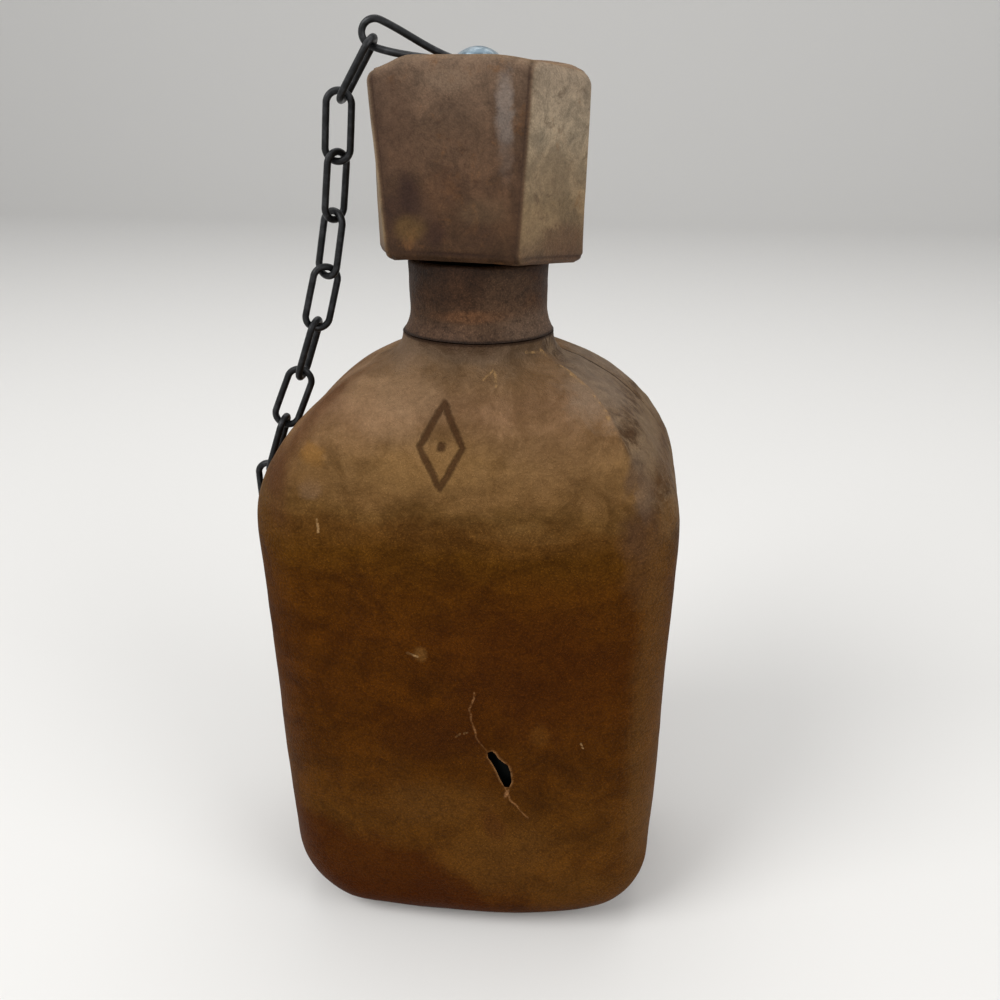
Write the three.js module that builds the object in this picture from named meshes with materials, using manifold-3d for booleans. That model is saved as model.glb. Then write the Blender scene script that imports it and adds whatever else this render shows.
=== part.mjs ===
// Leather-wrapped glass decanter with a chained, leather-covered block stopper.
// Millimetres, +Z up, origin at the middle of the base, front face towards -Y.

import * as THREE from 'three';
import { mergeVertices } from 'three/addons/utils/BufferGeometryUtils.js';
import Module from 'manifold-3d';

const wasm = await Module();
wasm.setup();

// Fits and thicknesses
const fitGap = 0.3;
const leatherThickness = 1.8;
const glassWall = 3;
const cutOverrun = 2;

// Flask body, measured over the leather
const baseWidth = 106.6;
const shoulderWidth = 112.6;
const shoulderHeight = 125.5;
const archRise = 45.5;
const baseCornerRadius = 24;
const baseDepth = 68;
const shoulderDepth = 76;
const bodyEdgeRadius = 14.5;
const faceCrown = 4.5;
const seamSetback = 10;
const frontSetback = 17;
const backSetback = 7;
const setbackDrop = 20.5;
const setbackPowerShare = 3;
const soleMargin = 4;

// Collar where the body leather rises to the neck
const collarTopRadius = 20.3;
const collarRise = 2.8;
const collarFillet = 8;
const collarHeight = shoulderHeight + archRise + collarRise;

// Neck, mouth and cork
const neckGlassRadius = 16;
const boreRadius = 10.5;
const neckLength = 20.3;
const lipHeight = collarHeight + neckLength;
const sleeveTopRadius = 18.7;
const sleeveWaistRadius = 18.4;
const sleeveTopDrop = 2;
const sleeveFlareHeight = 7;
const sleeveRimRadius = 1;
const corkLength = 15;
const corkTaper = 0.6;
const corkRootLength = 9;
const corkRootRadius = 9;

// Stopper block, a hexagon with wide front and back facets
const stopperHeight = 45.6;
const stopperTipWidth = 58;
const stopperDepth = 45.6;
const topFacetWidth = 41;
const bottomFacetWidth = 34;
const bottomShrink = 0.8;
const blockEdgeRadius = 3;
const blockCornerRadius = 2;
const stopperTurn = -10.4;
const topLeatherThickness = 2.2;

// Dished middle of the stopper's top, where the screw traps the end link
const dishDepth = 1.2;
const dishFloorRadius = 6.5;
const dishRimRadius = 12;

// Domed screws
const screwHeadRadius = 4.65;
const screwHeadRim = 0.5;
const screwDomeHeight = 1.2;
const screwShankRadius = 1.75;
const screwLength = 16;
const nailHeadRadius = 4;
const nailHeadRim = 0.5;
const nailDomeHeight = 1.3;
const nailShankRadius = 1.4;

// Chain of oval wire links
const wireDiameter = 1.9;
const linkLength = 19.2;
const linkWidth = 8.6;

// End link, bent up from the screw and twisted on its way to the stopper's edge
const endLinkRise = 7.3;
const endLinkTwist = 86;
const endLinkPlay = 1.1;
const risePowerShare = 1.4;
const twistPowerShare = 2;

// Way of the chain from the stopper's edge to its nail on the left side
const edgeLean = 3.2;
const besideBlock = 7.4;
const edgeDrop = 10;
const besideBody = 5.4;
const hangRise = 8.5;
const hangHeight = shoulderHeight + hangRise;
const sagDepth = 34;
const sagWidth = 21;
const shoulderBendShares = [[0.05, 0.5], [0.64, 0.8]];

// Worn slit in the front leather
const slitLength = 11;
const slitWidth = 4;
const slitLean = 28;
const slitOffset = 10.8;
const slitHeight = 60.6;

// Facet counts
const cornerSteps = 5;
const sideSteps = 4;
const archSteps = 10;
const edgeSteps = 4;
const faceRingShares = [0.7, 0.35];
const turnSteps = 40;
const blockCornerSteps = 3;
const blockEdgeSteps = 3;
const blockLevels = 5;
const bowSteps = 9;
const legSteps = 5;
const wireSides = 8;
const domeSteps = 5;
const filletSteps = 6;
const waySteps = 4000;
const smallShare = 1e-4;

const degree = Math.PI / 180;
const { lerp, clamp } = THREE.MathUtils;

// Solids from closed surfaces

function toSolid(geometry) {
  const plain = geometry.clone();
  plain.deleteAttribute('normal');
  plain.deleteAttribute('uv');
  const merged = mergeVertices(plain);
  const vertProperties = new Float32Array(merged.attributes.position.array);
  const triVerts = openTriangles(merged.index.array, vertProperties);
  return new wasm.Manifold(new wasm.Mesh({ numProp: 3, vertProperties, triVerts }));
}

// Drops collapsed triangles and turns the rest outwards
function openTriangles(index, positions) {
  const kept = [];
  let volume = 0;
  for (let i = 0; i < index.length; i += 3) {
    const [a, b, c] = [index[i], index[i + 1], index[i + 2]];
    if (a === b || b === c || c === a) continue;
    const [pa, pb, pc] = [a, b, c].map((n) => new THREE.Vector3().fromArray(positions, 3 * n));
    volume += pa.dot(pb.cross(pc));
    kept.push(a, b, c);
  }
  if (volume < 0) kept.reverse();
  return new Uint32Array(kept);
}

function toGeometry(solid) {
  const { vertProperties, triVerts } = solid.getMesh();
  const geometry = new THREE.BufferGeometry();
  geometry.setAttribute('position', new THREE.BufferAttribute(vertProperties, 3));
  geometry.setIndex(new THREE.BufferAttribute(triVerts, 1));
  geometry.computeVertexNormals();
  return geometry;
}

// Rings of points joined one to the next, with both ends closed by a fan
function loft(rings) {
  const count = rings[0].length;
  const points = rings.flat();
  const faces = [];
  for (let r = 0; r + 1 < rings.length; r += 1) {
    for (let i = 0; i < count; i += 1) {
      const j = (i + 1) % count;
      const [a, b, c, d] = [r * count + i, r * count + j, (r + 1) * count + j, (r + 1) * count + i];
      faces.push(a, b, c, a, c, d);
    }
  }
  const firstCentre = points.push(middleOf(rings[0])) - 1;
  const lastCentre = points.push(middleOf(rings[rings.length - 1])) - 1;
  const lastStart = (rings.length - 1) * count;
  for (let i = 0; i < count; i += 1) {
    const j = (i + 1) % count;
    faces.push(firstCentre, j, i, lastCentre, lastStart + i, lastStart + j);
  }
  const geometry = new THREE.BufferGeometry().setFromPoints(points);
  geometry.setIndex(faces);
  return toSolid(geometry);
}

function middleOf(ring) {
  const sum = ring.reduce((total, point) => total.add(point), new THREE.Vector3());
  return sum.divideScalar(ring.length);
}

// A profile of radius and height turned about Z
function turned(profile) {
  const points = profile.map(([radius, height]) => new THREE.Vector2(radius, height));
  return toSolid(new THREE.LatheGeometry(points, turnSteps).rotateX(Math.PI / 2));
}

function cylinder(radius, bottom, top) {
  return turned([[0, bottom], [radius, bottom], [radius, top], [0, top]]);
}

function box(width, depth, bottom, top, x = 0, y = 0) {
  const geometry = new THREE.BoxGeometry(width, depth, top - bottom);
  return toSolid(geometry.translate(x, y, (top + bottom) / 2));
}

// Arc points from one angle to another, ends included
function arc(cx, cy, radius, from, to, steps) {
  return Array.from({ length: steps + 1 }, (_, i) => {
    const angle = lerp(from, to, i / steps) * degree;
    return [cx + radius * Math.cos(angle), cy + radius * Math.sin(angle)];
  });
}

// Flask body: an arched front outline swept through a rounded depth

const baseHalf = baseWidth / 2;
const shoulderHalf = shoulderWidth / 2;
const sideRise = shoulderHeight - baseCornerRadius;

// Right half of the front outline from the base up, with outward directions
function halfOutline() {
  const points = [{ x: 0, z: 0, nx: 0, nz: -1 }];
  for (let i = 0; i <= cornerSteps; i += 1) {
    const angle = lerp(-90, 0, i / cornerSteps) * degree;
    const [nx, nz] = [Math.cos(angle), Math.sin(angle)];
    const x = baseHalf - baseCornerRadius + baseCornerRadius * nx;
    points.push({ x, z: baseCornerRadius + baseCornerRadius * nz, nx, nz });
  }
  for (let i = 1; i <= sideSteps; i += 1) {
    const z = baseCornerRadius + sideRise * (i / sideSteps);
    const out = new THREE.Vector2(1, -sideSlopeAt(z)).normalize();
    points.push({ x: sideHalfAt(z), z, nx: out.x, nz: out.y });
  }
  for (let i = 1; i <= archSteps; i += 1) {
    const angle = lerp(0, 90, i / archSteps) * degree;
    const [c, s] = [Math.cos(angle), Math.sin(angle)];
    const out = new THREE.Vector2(c / shoulderHalf, s / archRise).normalize();
    points.push({ x: shoulderHalf * c, z: shoulderHeight + archRise * s, nx: out.x, nz: out.y });
  }
  return points;
}

function sideHalfAt(z) {
  const share = clamp((z - baseCornerRadius) / sideRise, 0, 1);
  return lerp(baseHalf, shoulderHalf, Math.sin((share * Math.PI) / 2));
}

function sideSlopeAt(z) {
  const share = clamp((z - baseCornerRadius) / sideRise, 0, 1);
  return (((shoulderHalf - baseHalf) * Math.PI) / 2 / sideRise) * Math.cos((share * Math.PI) / 2);
}

function fullOutline() {
  const right = halfOutline();
  const left = right.slice(1, -1).reverse().map(({ x, z, nx, nz }) => ({ x: -x, z, nx: -nx, nz }));
  return [...right, ...left];
}

function halfDepthAt(z) {
  return lerp(baseDepth, shoulderDepth, clamp(z / shoulderHeight, 0, 1)) / 2;
}

// How far a face has leaned back towards the neck at a height
function setbackAt(z, side) {
  const start = shoulderHeight - setbackDrop;
  const share = clamp((z - start) / (archRise + setbackDrop), 0, 1);
  return (side < 0 ? frontSetback : backSetback) * share ** setbackPowerShare;
}

function crownAt(x) {
  return faceCrown * (1 - clamp(Math.abs(x) / shoulderHalf, 0, 1) ** 2);
}

// The body's solid, set in evenly from the leather's outside
function bodySolid(inset) {
  const outline = fullOutline();
  const radius = bodyEdgeRadius - inset;
  const edgeRing = (side, angle) => outline.map(({ x, z, nx, nz }) => {
    const setIn = inset + radius * (1 - Math.cos(angle));
    const [px, pz] = [x - nx * setIn, z - nz * setIn];
    const flat = halfDepthAt(z) - bodyEdgeRadius - setbackAt(pz, side);
    const depth = flat + (radius + crownAt(px)) * Math.sin(angle);
    return new THREE.Vector3(px, side * depth, pz);
  });
  const front = [];
  for (let i = 0; i <= edgeSteps; i += 1) front.push(edgeRing(-1, (i / edgeSteps) * (Math.PI / 2)));
  const back = front.map((_, i) => edgeRing(1, (i / edgeSteps) * (Math.PI / 2)));
  const rings = [...faceRings(front[edgeSteps], -1, inset), ...front.slice().reverse()];
  return loft([...rings, ...back, ...faceRings(back[edgeSteps], 1, inset).reverse()]);
}

// Rings that close a crowned face towards its middle, the smallest first
function faceRings(rim, side, inset) {
  const middle = middleOf(rim);
  return faceRingShares.toReversed().map((share) => rim.map((point) => {
    const x = lerp(middle.x, point.x, share);
    const z = lerp(middle.z, point.z, share);
    const depth = halfDepthAt(z) - inset + crownAt(x) - setbackAt(z, side);
    return new THREE.Vector3(x, side * depth, z);
  }));
}

// The collar that lifts the arch to the neck, set in like the body
function collarSolid(inset, top) {
  const rootRadius = collarTopRadius + collarFillet;
  const fillet = arc(rootRadius, collarHeight, collarFillet + inset, 180, 270, filletSteps);
  const root = collarHeight - collarFillet - inset;
  const skirt = [rootRadius + collarFillet / 2, root - collarFillet];
  const crown = [[0, top], [collarTopRadius - inset, top]];
  return turned([...crown, ...fillet, skirt, [0, skirt[1]]]);
}

const glassInset = leatherThickness + fitGap;
const outerBody = bodySolid(0).add(collarSolid(0, collarHeight));
const leatherInside = bodySolid(leatherThickness).add(collarSolid(leatherThickness, lipHeight));

// Hollow glass flask with an open neck
function glassFlask() {
  const outside = bodySolid(glassInset).add(collarSolid(glassInset, collarHeight));
  const neck = cylinder(neckGlassRadius, shoulderHeight, lipHeight);
  const bore = cylinder(boreRadius, shoulderHeight, lipHeight + cutOverrun);
  const cavity = bodySolid(glassInset + glassWall).add(bore);
  return outside.add(neck).subtract(cavity);
}

const soleWidth = baseWidth - 2 * (baseCornerRadius + soleMargin);
const soleDepth = baseDepth - 2 * (bodyEdgeRadius + soleMargin);

// Front and back leathers meet at a seam behind the middle of the sides
function leatherShell(front) {
  const reach = lipHeight + shoulderWidth;
  const seam = seamSetback + (front ? -fitGap / 2 : fitGap / 2);
  const middle = seam + (front ? -reach / 2 : reach / 2);
  const half = box(reach, reach, -reach, reach, 0, middle);
  const gap = 2 * fitGap;
  const soleOpening = box(soleWidth + gap, soleDepth + gap, -cutOverrun, leatherThickness + cutOverrun);
  return outerBody.subtract(leatherInside).intersect(half).subtract(soleOpening);
}

function slitCutter() {
  const shape = new THREE.Shape();
  shape.absellipse(0, 0, slitWidth / 2, slitLength / 2, 0, 2 * Math.PI);
  const depth = shoulderDepth;
  const cutter = new THREE.ExtrudeGeometry(shape, { depth, bevelEnabled: false, curveSegments: 6 });
  cutter.rotateZ(slitLean * degree).rotateX(Math.PI / 2);
  return toSolid(cutter.translate(slitOffset, 0, slitHeight));
}

function soleLeather() {
  return box(soleWidth, soleDepth, 0, leatherThickness);
}

// Neck sleeve: a turned tube that flares over the collar
function neckSleeve() {
  const inside = neckGlassRadius + fitGap;
  const bottom = collarHeight + fitGap;
  const top = lipHeight - sleeveTopDrop;
  const flare = new THREE.QuadraticBezierCurve(
    new THREE.Vector2(collarTopRadius, bottom),
    new THREE.Vector2(sleeveWaistRadius, bottom + sleeveFlareHeight / 3),
    new THREE.Vector2(sleeveWaistRadius, bottom + sleeveFlareHeight),
  );
  const rim = arc(sleeveTopRadius - sleeveRimRadius, top - sleeveRimRadius, sleeveRimRadius, 0, 90, 3);
  const outside = flare.getPoints(filletSteps).map(({ x, y }) => [x, y]);
  return turned([[inside, bottom], ...outside, ...rim, [inside, top], [inside, bottom]]);
}

// Stopper block and its leathers

const stopperBottom = lipHeight + fitGap;
const stopperTop = stopperBottom + stopperHeight;

// Six corners of the block at a height, its facets set in by a distance
function blockCorners(height, inset) {
  const share = (height - stopperBottom) / stopperHeight;
  const facet = lerp(bottomFacetWidth, topFacetWidth, share) / 2;
  const tip = stopperTipWidth / 2 - lerp(bottomShrink, 0, share);
  const depth = stopperDepth / 2 - lerp(bottomShrink, 0, share);
  const shape = [[tip, 0], [facet, depth], [-facet, depth], [-tip, 0], [-facet, -depth], [facet, -depth]];
  return insetPolygon(shape.map(([x, y]) => new THREE.Vector2(x, y)), inset);
}

// Moves every edge of a convex polygon inwards
function insetPolygon(corners, inset) {
  return corners.map((corner, i) => {
    const before = corners[(i + corners.length - 1) % corners.length];
    const after = corners[(i + 1) % corners.length];
    const back = corner.clone().sub(before).normalize();
    const ahead = after.clone().sub(corner).normalize();
    const middle = new THREE.Vector2(-back.y - ahead.y, back.x + ahead.x).normalize();
    const reach = inset / middle.dot(new THREE.Vector2(-back.y, back.x));
    return corner.clone().addScaledVector(middle, reach);
  });
}

// Rounds the corners of a convex polygon with arcs
function roundedRing(corners, radius, height) {
  return corners.flatMap((corner, i) => {
    const before = corners[(i + corners.length - 1) % corners.length].clone().sub(corner).normalize();
    const after = corners[(i + 1) % corners.length].clone().sub(corner).normalize();
    const halfTurn = Math.acos(clamp(before.dot(after), -1, 1)) / 2;
    const inwards = before.clone().add(after).normalize();
    const centre = corner.clone().addScaledVector(inwards, radius / Math.sin(halfTurn));
    const spread = Math.PI / 2 - halfTurn;
    const middle = Math.atan2(-inwards.y, -inwards.x);
    return Array.from({ length: blockCornerSteps + 1 }, (_, k) => {
      const angle = middle + lerp(-spread, spread, k / blockCornerSteps);
      const [x, y] = [centre.x + radius * Math.cos(angle), centre.y + radius * Math.sin(angle)];
      return new THREE.Vector3(x, y, height);
    });
  });
}

// The block from one height to another, set in, with its top and bottom edges rounded off
function blockSolid(inset, bottom, top, edge = 0) {
  const round = edge > 0 ? arc(0, 0, edge, 0, 90, blockEdgeSteps) : [[0, 0]];
  const low = round.map(([c, s]) => [bottom + edge - s, inset + edge - c]).reverse();
  const high = round.map(([c, s]) => [top - edge + s, inset + edge - c]);
  const between = Array.from({ length: blockLevels - 1 }, (_, i) => (
    [lerp(bottom + edge, top - edge, (i + 1) / blockLevels), inset]
  ));
  const levels = [...low, ...between, ...high];
  return loft(levels.map(([z, setIn]) => roundedRing(blockCorners(z, setIn), blockCornerRadius, z)));
}

function sideWrap() {
  const inside = blockSolid(leatherThickness, stopperBottom - cutOverrun, stopperTop + cutOverrun);
  return blockSolid(0, stopperBottom, stopperTop, blockEdgeRadius).subtract(inside);
}

const screwHole = () => cylinder(screwShankRadius + fitGap, stopperBottom, stopperTop + cutOverrun);

function topLeather() {
  const plate = blockSolid(glassInset, stopperTop - topLeatherThickness, stopperTop);
  const floor = stopperTop - dishDepth;
  const above = stopperTop + cutOverrun;
  const slope = dishDepth / (dishRimRadius - dishFloorRadius);
  const rim = dishRimRadius + cutOverrun / slope;
  const dish = turned([[0, floor], [dishFloorRadius, floor], [rim, above], [0, above]]);
  return plate.subtract(dish).subtract(screwHole());
}

function bottomLeather() {
  const plate = blockSolid(glassInset, stopperBottom, stopperBottom + leatherThickness);
  const top = stopperBottom + leatherThickness + cutOverrun;
  return plate.subtract(cylinder(corkRootRadius + fitGap, stopperBottom - cutOverrun, top));
}

const corkRootTop = stopperBottom + corkRootLength;

function blockCore() {
  const bottom = stopperBottom + leatherThickness + fitGap;
  const top = stopperTop - topLeatherThickness - fitGap;
  const socket = cylinder(corkRootRadius + fitGap, bottom - cutOverrun, corkRootTop + fitGap);
  const screwSocket = cylinder(screwShankRadius + fitGap, screwTip - fitGap, top + cutOverrun);
  return blockSolid(glassInset, bottom, top).subtract(socket).subtract(screwSocket);
}

// Tapered cork, narrower towards the flask, rooted in the block
function corkPlug() {
  const radius = boreRadius - fitGap;
  const bottom = lipHeight - corkLength;
  const shoulder = lipHeight;
  const chamfer = corkTaper;
  return turned([
    [0, bottom], [radius - corkTaper - chamfer, bottom], [radius - corkTaper, bottom + chamfer],
    [radius, shoulder], [corkRootRadius, shoulder], [corkRootRadius, corkRootTop], [0, corkRootTop],
  ]);
}

// A domed head over a shank, with its seat at height zero and the head above it
function domedScrew(headRadius, rim, dome, shankRadius, length) {
  const sphere = (headRadius ** 2 + dome ** 2) / (2 * dome);
  const halfAngle = Math.asin(headRadius / sphere) / degree;
  const cap = arc(0, rim + dome - sphere, sphere, 90 - halfAngle, 90, domeSteps);
  cap[domeSteps][0] = 0;
  return turned([
    [0, -length], [shankRadius / 2, -length], [shankRadius, -length + shankRadius],
    [shankRadius, 0], [headRadius, 0], ...cap,
  ]);
}

const screwSeat = stopperTop - dishDepth + wireDiameter + endLinkPlay;
const screwTip = screwSeat - screwLength;

// Chain links: round wire along an oval, or along the bent and twisted end link

const bowRadius = (linkWidth - wireDiameter) / 2;
const halfStraight = linkLength / 2 - wireDiameter / 2 - bowRadius;

// Points of a long oval about its middle, along x and y
function ovalPath(halfLeg, radius) {
  const points = [];
  for (const side of [1, -1]) {
    for (let i = 0; i < bowSteps; i += 1) {
      const angle = lerp(-90, 90, i / bowSteps) * degree;
      points.push([side * (halfLeg + radius * Math.cos(angle)), side * radius * Math.sin(angle)]);
    }
    for (let i = 0; i < legSteps; i += 1) {
      points.push([side * lerp(halfLeg, -halfLeg, i / legSteps), side * radius]);
    }
  }
  return points;
}

// A closed tube of wire round a closed path
function wireLoop(path) {
  const count = path.length;
  const points = [];
  const faces = [];
  const middle = middleOf(path);
  path.forEach((centre, i) => {
    const along = path[(i + 1) % count].clone().sub(path[(i + count - 1) % count]).normalize();
    const out = centre.clone().sub(middle);
    out.addScaledVector(along, -out.dot(along)).normalize();
    const up = new THREE.Vector3().crossVectors(along, out);
    for (let k = 0; k < wireSides; k += 1) {
      const angle = (k / wireSides) * 2 * Math.PI;
      const point = centre.clone().addScaledVector(out, (wireDiameter / 2) * Math.cos(angle));
      points.push(point.addScaledVector(up, (wireDiameter / 2) * Math.sin(angle)));
      const next = ((i + 1) % count) * wireSides;
      const side = (k + 1) % wireSides;
      const [a, b, c, d] = [i * wireSides + k, next + k, next + side, i * wireSides + side];
      faces.push(a, b, c, a, c, d);
    }
  });
  const geometry = new THREE.BufferGeometry().setFromPoints(points);
  geometry.setIndex(faces);
  return toSolid(geometry);
}

// How far apart two hooked bows keep their wires' middles when one is rolled against the other
function hookDepth(roll) {
  const keep = wireDiameter + fitGap;
  const cosine = Math.abs(Math.cos(roll));
  const open = bowRadius * (1 - cosine);
  if (open >= keep) return keep;
  const reach = bowRadius * (1 + cosine);
  const share = Math.sqrt(Math.max(0, (2 * bowRadius * open - keep ** 2) / (open * reach)));
  return open + reach * (1 - share);
}

// Joint kinds: the pivot lies in the upper link's bow, in the lower link's bow, between both, or
// loosely in the last link's bow
const linkRolls = [endLinkTwist, 90, 0, -57, 30, -28, -86, -8, -90, 0, 90, 0, 90];
const jointKinds = [
  'upper', 'lower', 'between', 'between', 'between', 'between', 'between', 'between', 'lower',
  'lower', 'upper', 'loose',
];
const upperLinks = 8;
const wireToMiddle = (linkLength - wireDiameter) / 2;
const bowReach = bowRadius - wireDiameter - fitGap;

// Distances from a joint to the middles of the upper and lower link
function jointReach(i) {
  if (jointKinds[i] === 'upper') return [wireToMiddle - bowRadius, wireToMiddle + bowReach];
  if (jointKinds[i] === 'lower') return [wireToMiddle + bowReach, wireToMiddle - bowRadius];
  if (jointKinds[i] === 'loose') return [wireToMiddle, wireToMiddle - bowRadius];
  const half = hookDepth((linkRolls[i + 1] - linkRolls[i]) * degree) / 2;
  return [wireToMiddle - half, wireToMiddle - half];
}

// End link: one bow round the screw's shank, the other at the first joint
const endLinkStart = bowRadius - screwShankRadius - fitGap - wireDiameter / 2;
const endLinkLow = stopperTop - dishDepth + fitGap + wireDiameter / 2;
const endLinkEnd = stopperTipWidth / 2 - edgeLean;

// Place and heading on the end link's middle line, at a distance from the screw
function endLinkLine(distance) {
  const share = Math.max(0, (distance - endLinkStart) / (endLinkEnd - endLinkStart));
  const heightAt = (part) => endLinkRise * part ** risePowerShare;
  const step = smallShare * (endLinkEnd - endLinkStart);
  const climb = heightAt(share + smallShare) - heightAt(share);
  const up = new THREE.Vector3(climb, 0, step).normalize();
  return { place: new THREE.Vector3(-distance, 0, endLinkLow + heightAt(share)), up, share };
}

function endLink() {
  const halfLeg = (endLinkEnd - endLinkStart) / 2;
  const middle = (endLinkEnd + endLinkStart) / 2;
  return wireLoop(ovalPath(halfLeg, bowRadius).map(([along, across]) => {
    const { place, up, share } = endLinkLine(middle + along);
    const twist = endLinkTwist * degree * Math.min(share, 1) ** twistPowerShare;
    place.y += across * Math.cos(twist);
    return place.addScaledVector(up, across * Math.sin(twist));
  }));
}

// Way of the chain over the stopper's edge, down beside the block and out over the shoulder
function overShoulder(first) {
  const block = new THREE.Vector3(-stopperTipWidth / 2 - besideBlock, 0, stopperTop - edgeDrop);
  const side = new THREE.Vector3(-sideHalfAt(hangHeight) - besideBody, 0, hangHeight);
  const drop = new THREE.Vector3().subVectors(side, block);
  const [inner, outer] = shoulderBendShares.map(([out, down]) => (
    new THREE.Vector3(drop.x * out, 0, drop.z * down).add(block)
  ));
  const way = new THREE.CurvePath();
  way.add(new THREE.LineCurve3(first, block));
  way.add(new THREE.CubicBezierCurve3(block, inner, outer, side));
  way.add(new THREE.LineCurve3(side, side.clone().setZ(hangHeight - linkLength)));
  return way;
}

// Way of the chain down beside the left side and round again towards its nail
function downSide(start) {
  const [x, low] = [start.x, start.z - sagDepth];
  const [down, back] = [new THREE.Vector3(x, 0, low), new THREE.Vector3(x, sagWidth, low)];
  return new THREE.CubicBezierCurve3(start, down, back, new THREE.Vector3(x, sagWidth, start.z));
}

// Steps of given lengths along a way, each from the end of the one before
function stepsAlong(way, start, lengths) {
  const points = way.getSpacedPoints(waySteps);
  const ends = [start];
  let next = 1;
  for (const length of lengths) {
    const from = ends[ends.length - 1];
    while (next + 1 < points.length && points[next].distanceTo(from) < length) next += 1;
    const [near, far] = [points[next - 1].distanceTo(from), points[next].distanceTo(from)];
    ends.push(points[next - 1].clone().lerp(points[next], (length - near) / (far - near)));
  }
  return ends.slice(1);
}

// Joints of the chain, each one link's reach further along the way
function chainJoints() {
  const first = endLinkLine(endLinkEnd).place;
  const reaches = jointKinds.map((_, i) => (
    i > 0 ? jointReach(i - 1)[1] + jointReach(i)[0] : 0
  )).slice(1);
  const upper = stepsAlong(overShoulder(first), first, reaches.slice(0, upperLinks));
  const last = upper[upperLinks - 1];
  const lower = stepsAlong(downSide(last), last, reaches.slice(upperLinks));
  const end = lower[lower.length - 1].clone();
  return [first, ...upper, ...lower, end.setZ(end.z + linkLength)];
}

const joints = chainJoints();

// Middle and directions of a link: along it, and across its oval
function linkFrame(i) {
  const along = joints[i].clone().sub(joints[i - 1]).normalize();
  const middle = joints[i - 1].clone().addScaledVector(along, jointReach(i - 1)[1]);
  const flat = new THREE.Vector3(1, 0, 0).addScaledVector(along, -along.x).normalize();
  const other = new THREE.Vector3().crossVectors(along, flat);
  const roll = linkRolls[i] * degree;
  const across = flat.multiplyScalar(Math.cos(roll)).addScaledVector(other, Math.sin(roll));
  return { along, middle, across };
}

function chainLink(i) {
  const { along, middle, across } = linkFrame(i);
  return wireLoop(ovalPath(halfStraight, bowRadius).map(([x, y]) =>
    middle.clone().addScaledVector(along, x).addScaledVector(across, y)));
}

// Nail through the last link, into the left side of the flask
function anchorNail() {
  const { along, middle } = linkFrame(jointKinds.length);
  const reach = halfStraight + bowRadius - wireDiameter / 2 - fitGap - nailShankRadius;
  const place = middle.addScaledVector(along, reach);
  const side = sideHalfAt(place.z);
  const seat = -place.x + wireDiameter / 2 + fitGap;
  const length = seat - side + leatherThickness;
  const nail = domedScrew(nailHeadRadius, nailHeadRim, nailDomeHeight, nailShankRadius, length);
  return { nail, place: [-seat, place.y, place.z] };
}

const linkName = (i) => `chain_link_${String(i + 1).padStart(2, '0')}`;

// Materials, from the worn leather, blackened iron, pewter, glass, wood and cork
const material = (color, roughness, metalness = 0) =>
  new THREE.MeshStandardMaterial({ color, roughness, metalness });

function piece(name, solid, look) {
  const mesh = new THREE.Mesh(toGeometry(solid), look);
  mesh.name = name;
  return mesh;
}

// Flask
const anchor = anchorNail();
const nailHole = turned([
  [0, -shoulderWidth / 4], [nailShankRadius + fitGap, -shoulderWidth / 4],
  [nailShankRadius + fitGap, cutOverrun], [0, cutOverrun],
]).rotate([0, -90, 0]).translate(anchor.place);
const flask = new THREE.Group();
flask.add(
  piece('glass_flask', glassFlask(), material(0x2f3d2a, 0.1)),
  piece('front_leather', leatherShell(true).subtract(slitCutter()), material(0x7a4a22, 0.6)),
  piece('back_leather', leatherShell(false).subtract(nailHole), material(0x75461f, 0.6)),
  piece('base_leather', soleLeather(), material(0x4a2c16, 0.8)),
  piece('neck_sleeve', neckSleeve(), material(0x45291a, 0.65)),
);

// Stopper, turned a little on the neck
const stopper = new THREE.Group();
stopper.rotation.z = stopperTurn * degree;
stopper.add(
  piece('stopper_core', blockCore(), material(0x9c7a50, 0.8)),
  piece('stopper_side_wrap', sideWrap(), material(0x6a3f22, 0.6)),
  piece('stopper_top_leather', topLeather(), material(0x6b4527, 0.65)),
  piece('stopper_bottom_leather', bottomLeather(), material(0x6b4527, 0.7)),
  piece('cork_plug', corkPlug(), material(0xb98c5a, 0.9)),
);
const screw = domedScrew(screwHeadRadius, screwHeadRim, screwDomeHeight, screwShankRadius, screwLength);
const screwMesh = piece('stopper_screw', screw, material(0x7d8890, 0.35, 0.9));
screwMesh.position.z = screwSeat;
stopper.add(screwMesh);

// Chain and its nail
const iron = () => material(0x17171a, 0.5, 0.8);
const chain = new THREE.Group();
chain.add(piece(linkName(0), endLink(), iron()));
for (let i = 1; i <= jointKinds.length; i += 1) chain.add(piece(linkName(i), chainLink(i), iron()));
const nailMesh = piece('anchor_nail', anchor.nail, iron());
nailMesh.rotation.y = -Math.PI / 2;
nailMesh.position.set(...anchor.place);
chain.add(nailMesh);

const decanter = new THREE.Group();
decanter.add(flask, stopper, chain);

export default decanter;
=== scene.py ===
"""Leather-wrapped decanter: leathers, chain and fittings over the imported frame, and its stage."""

import math

import bmesh
import bpy
import numpy as np
from bpy.props import FloatProperty, FloatVectorProperty, PointerProperty
from mathutils import Matrix, Vector, noise


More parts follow.
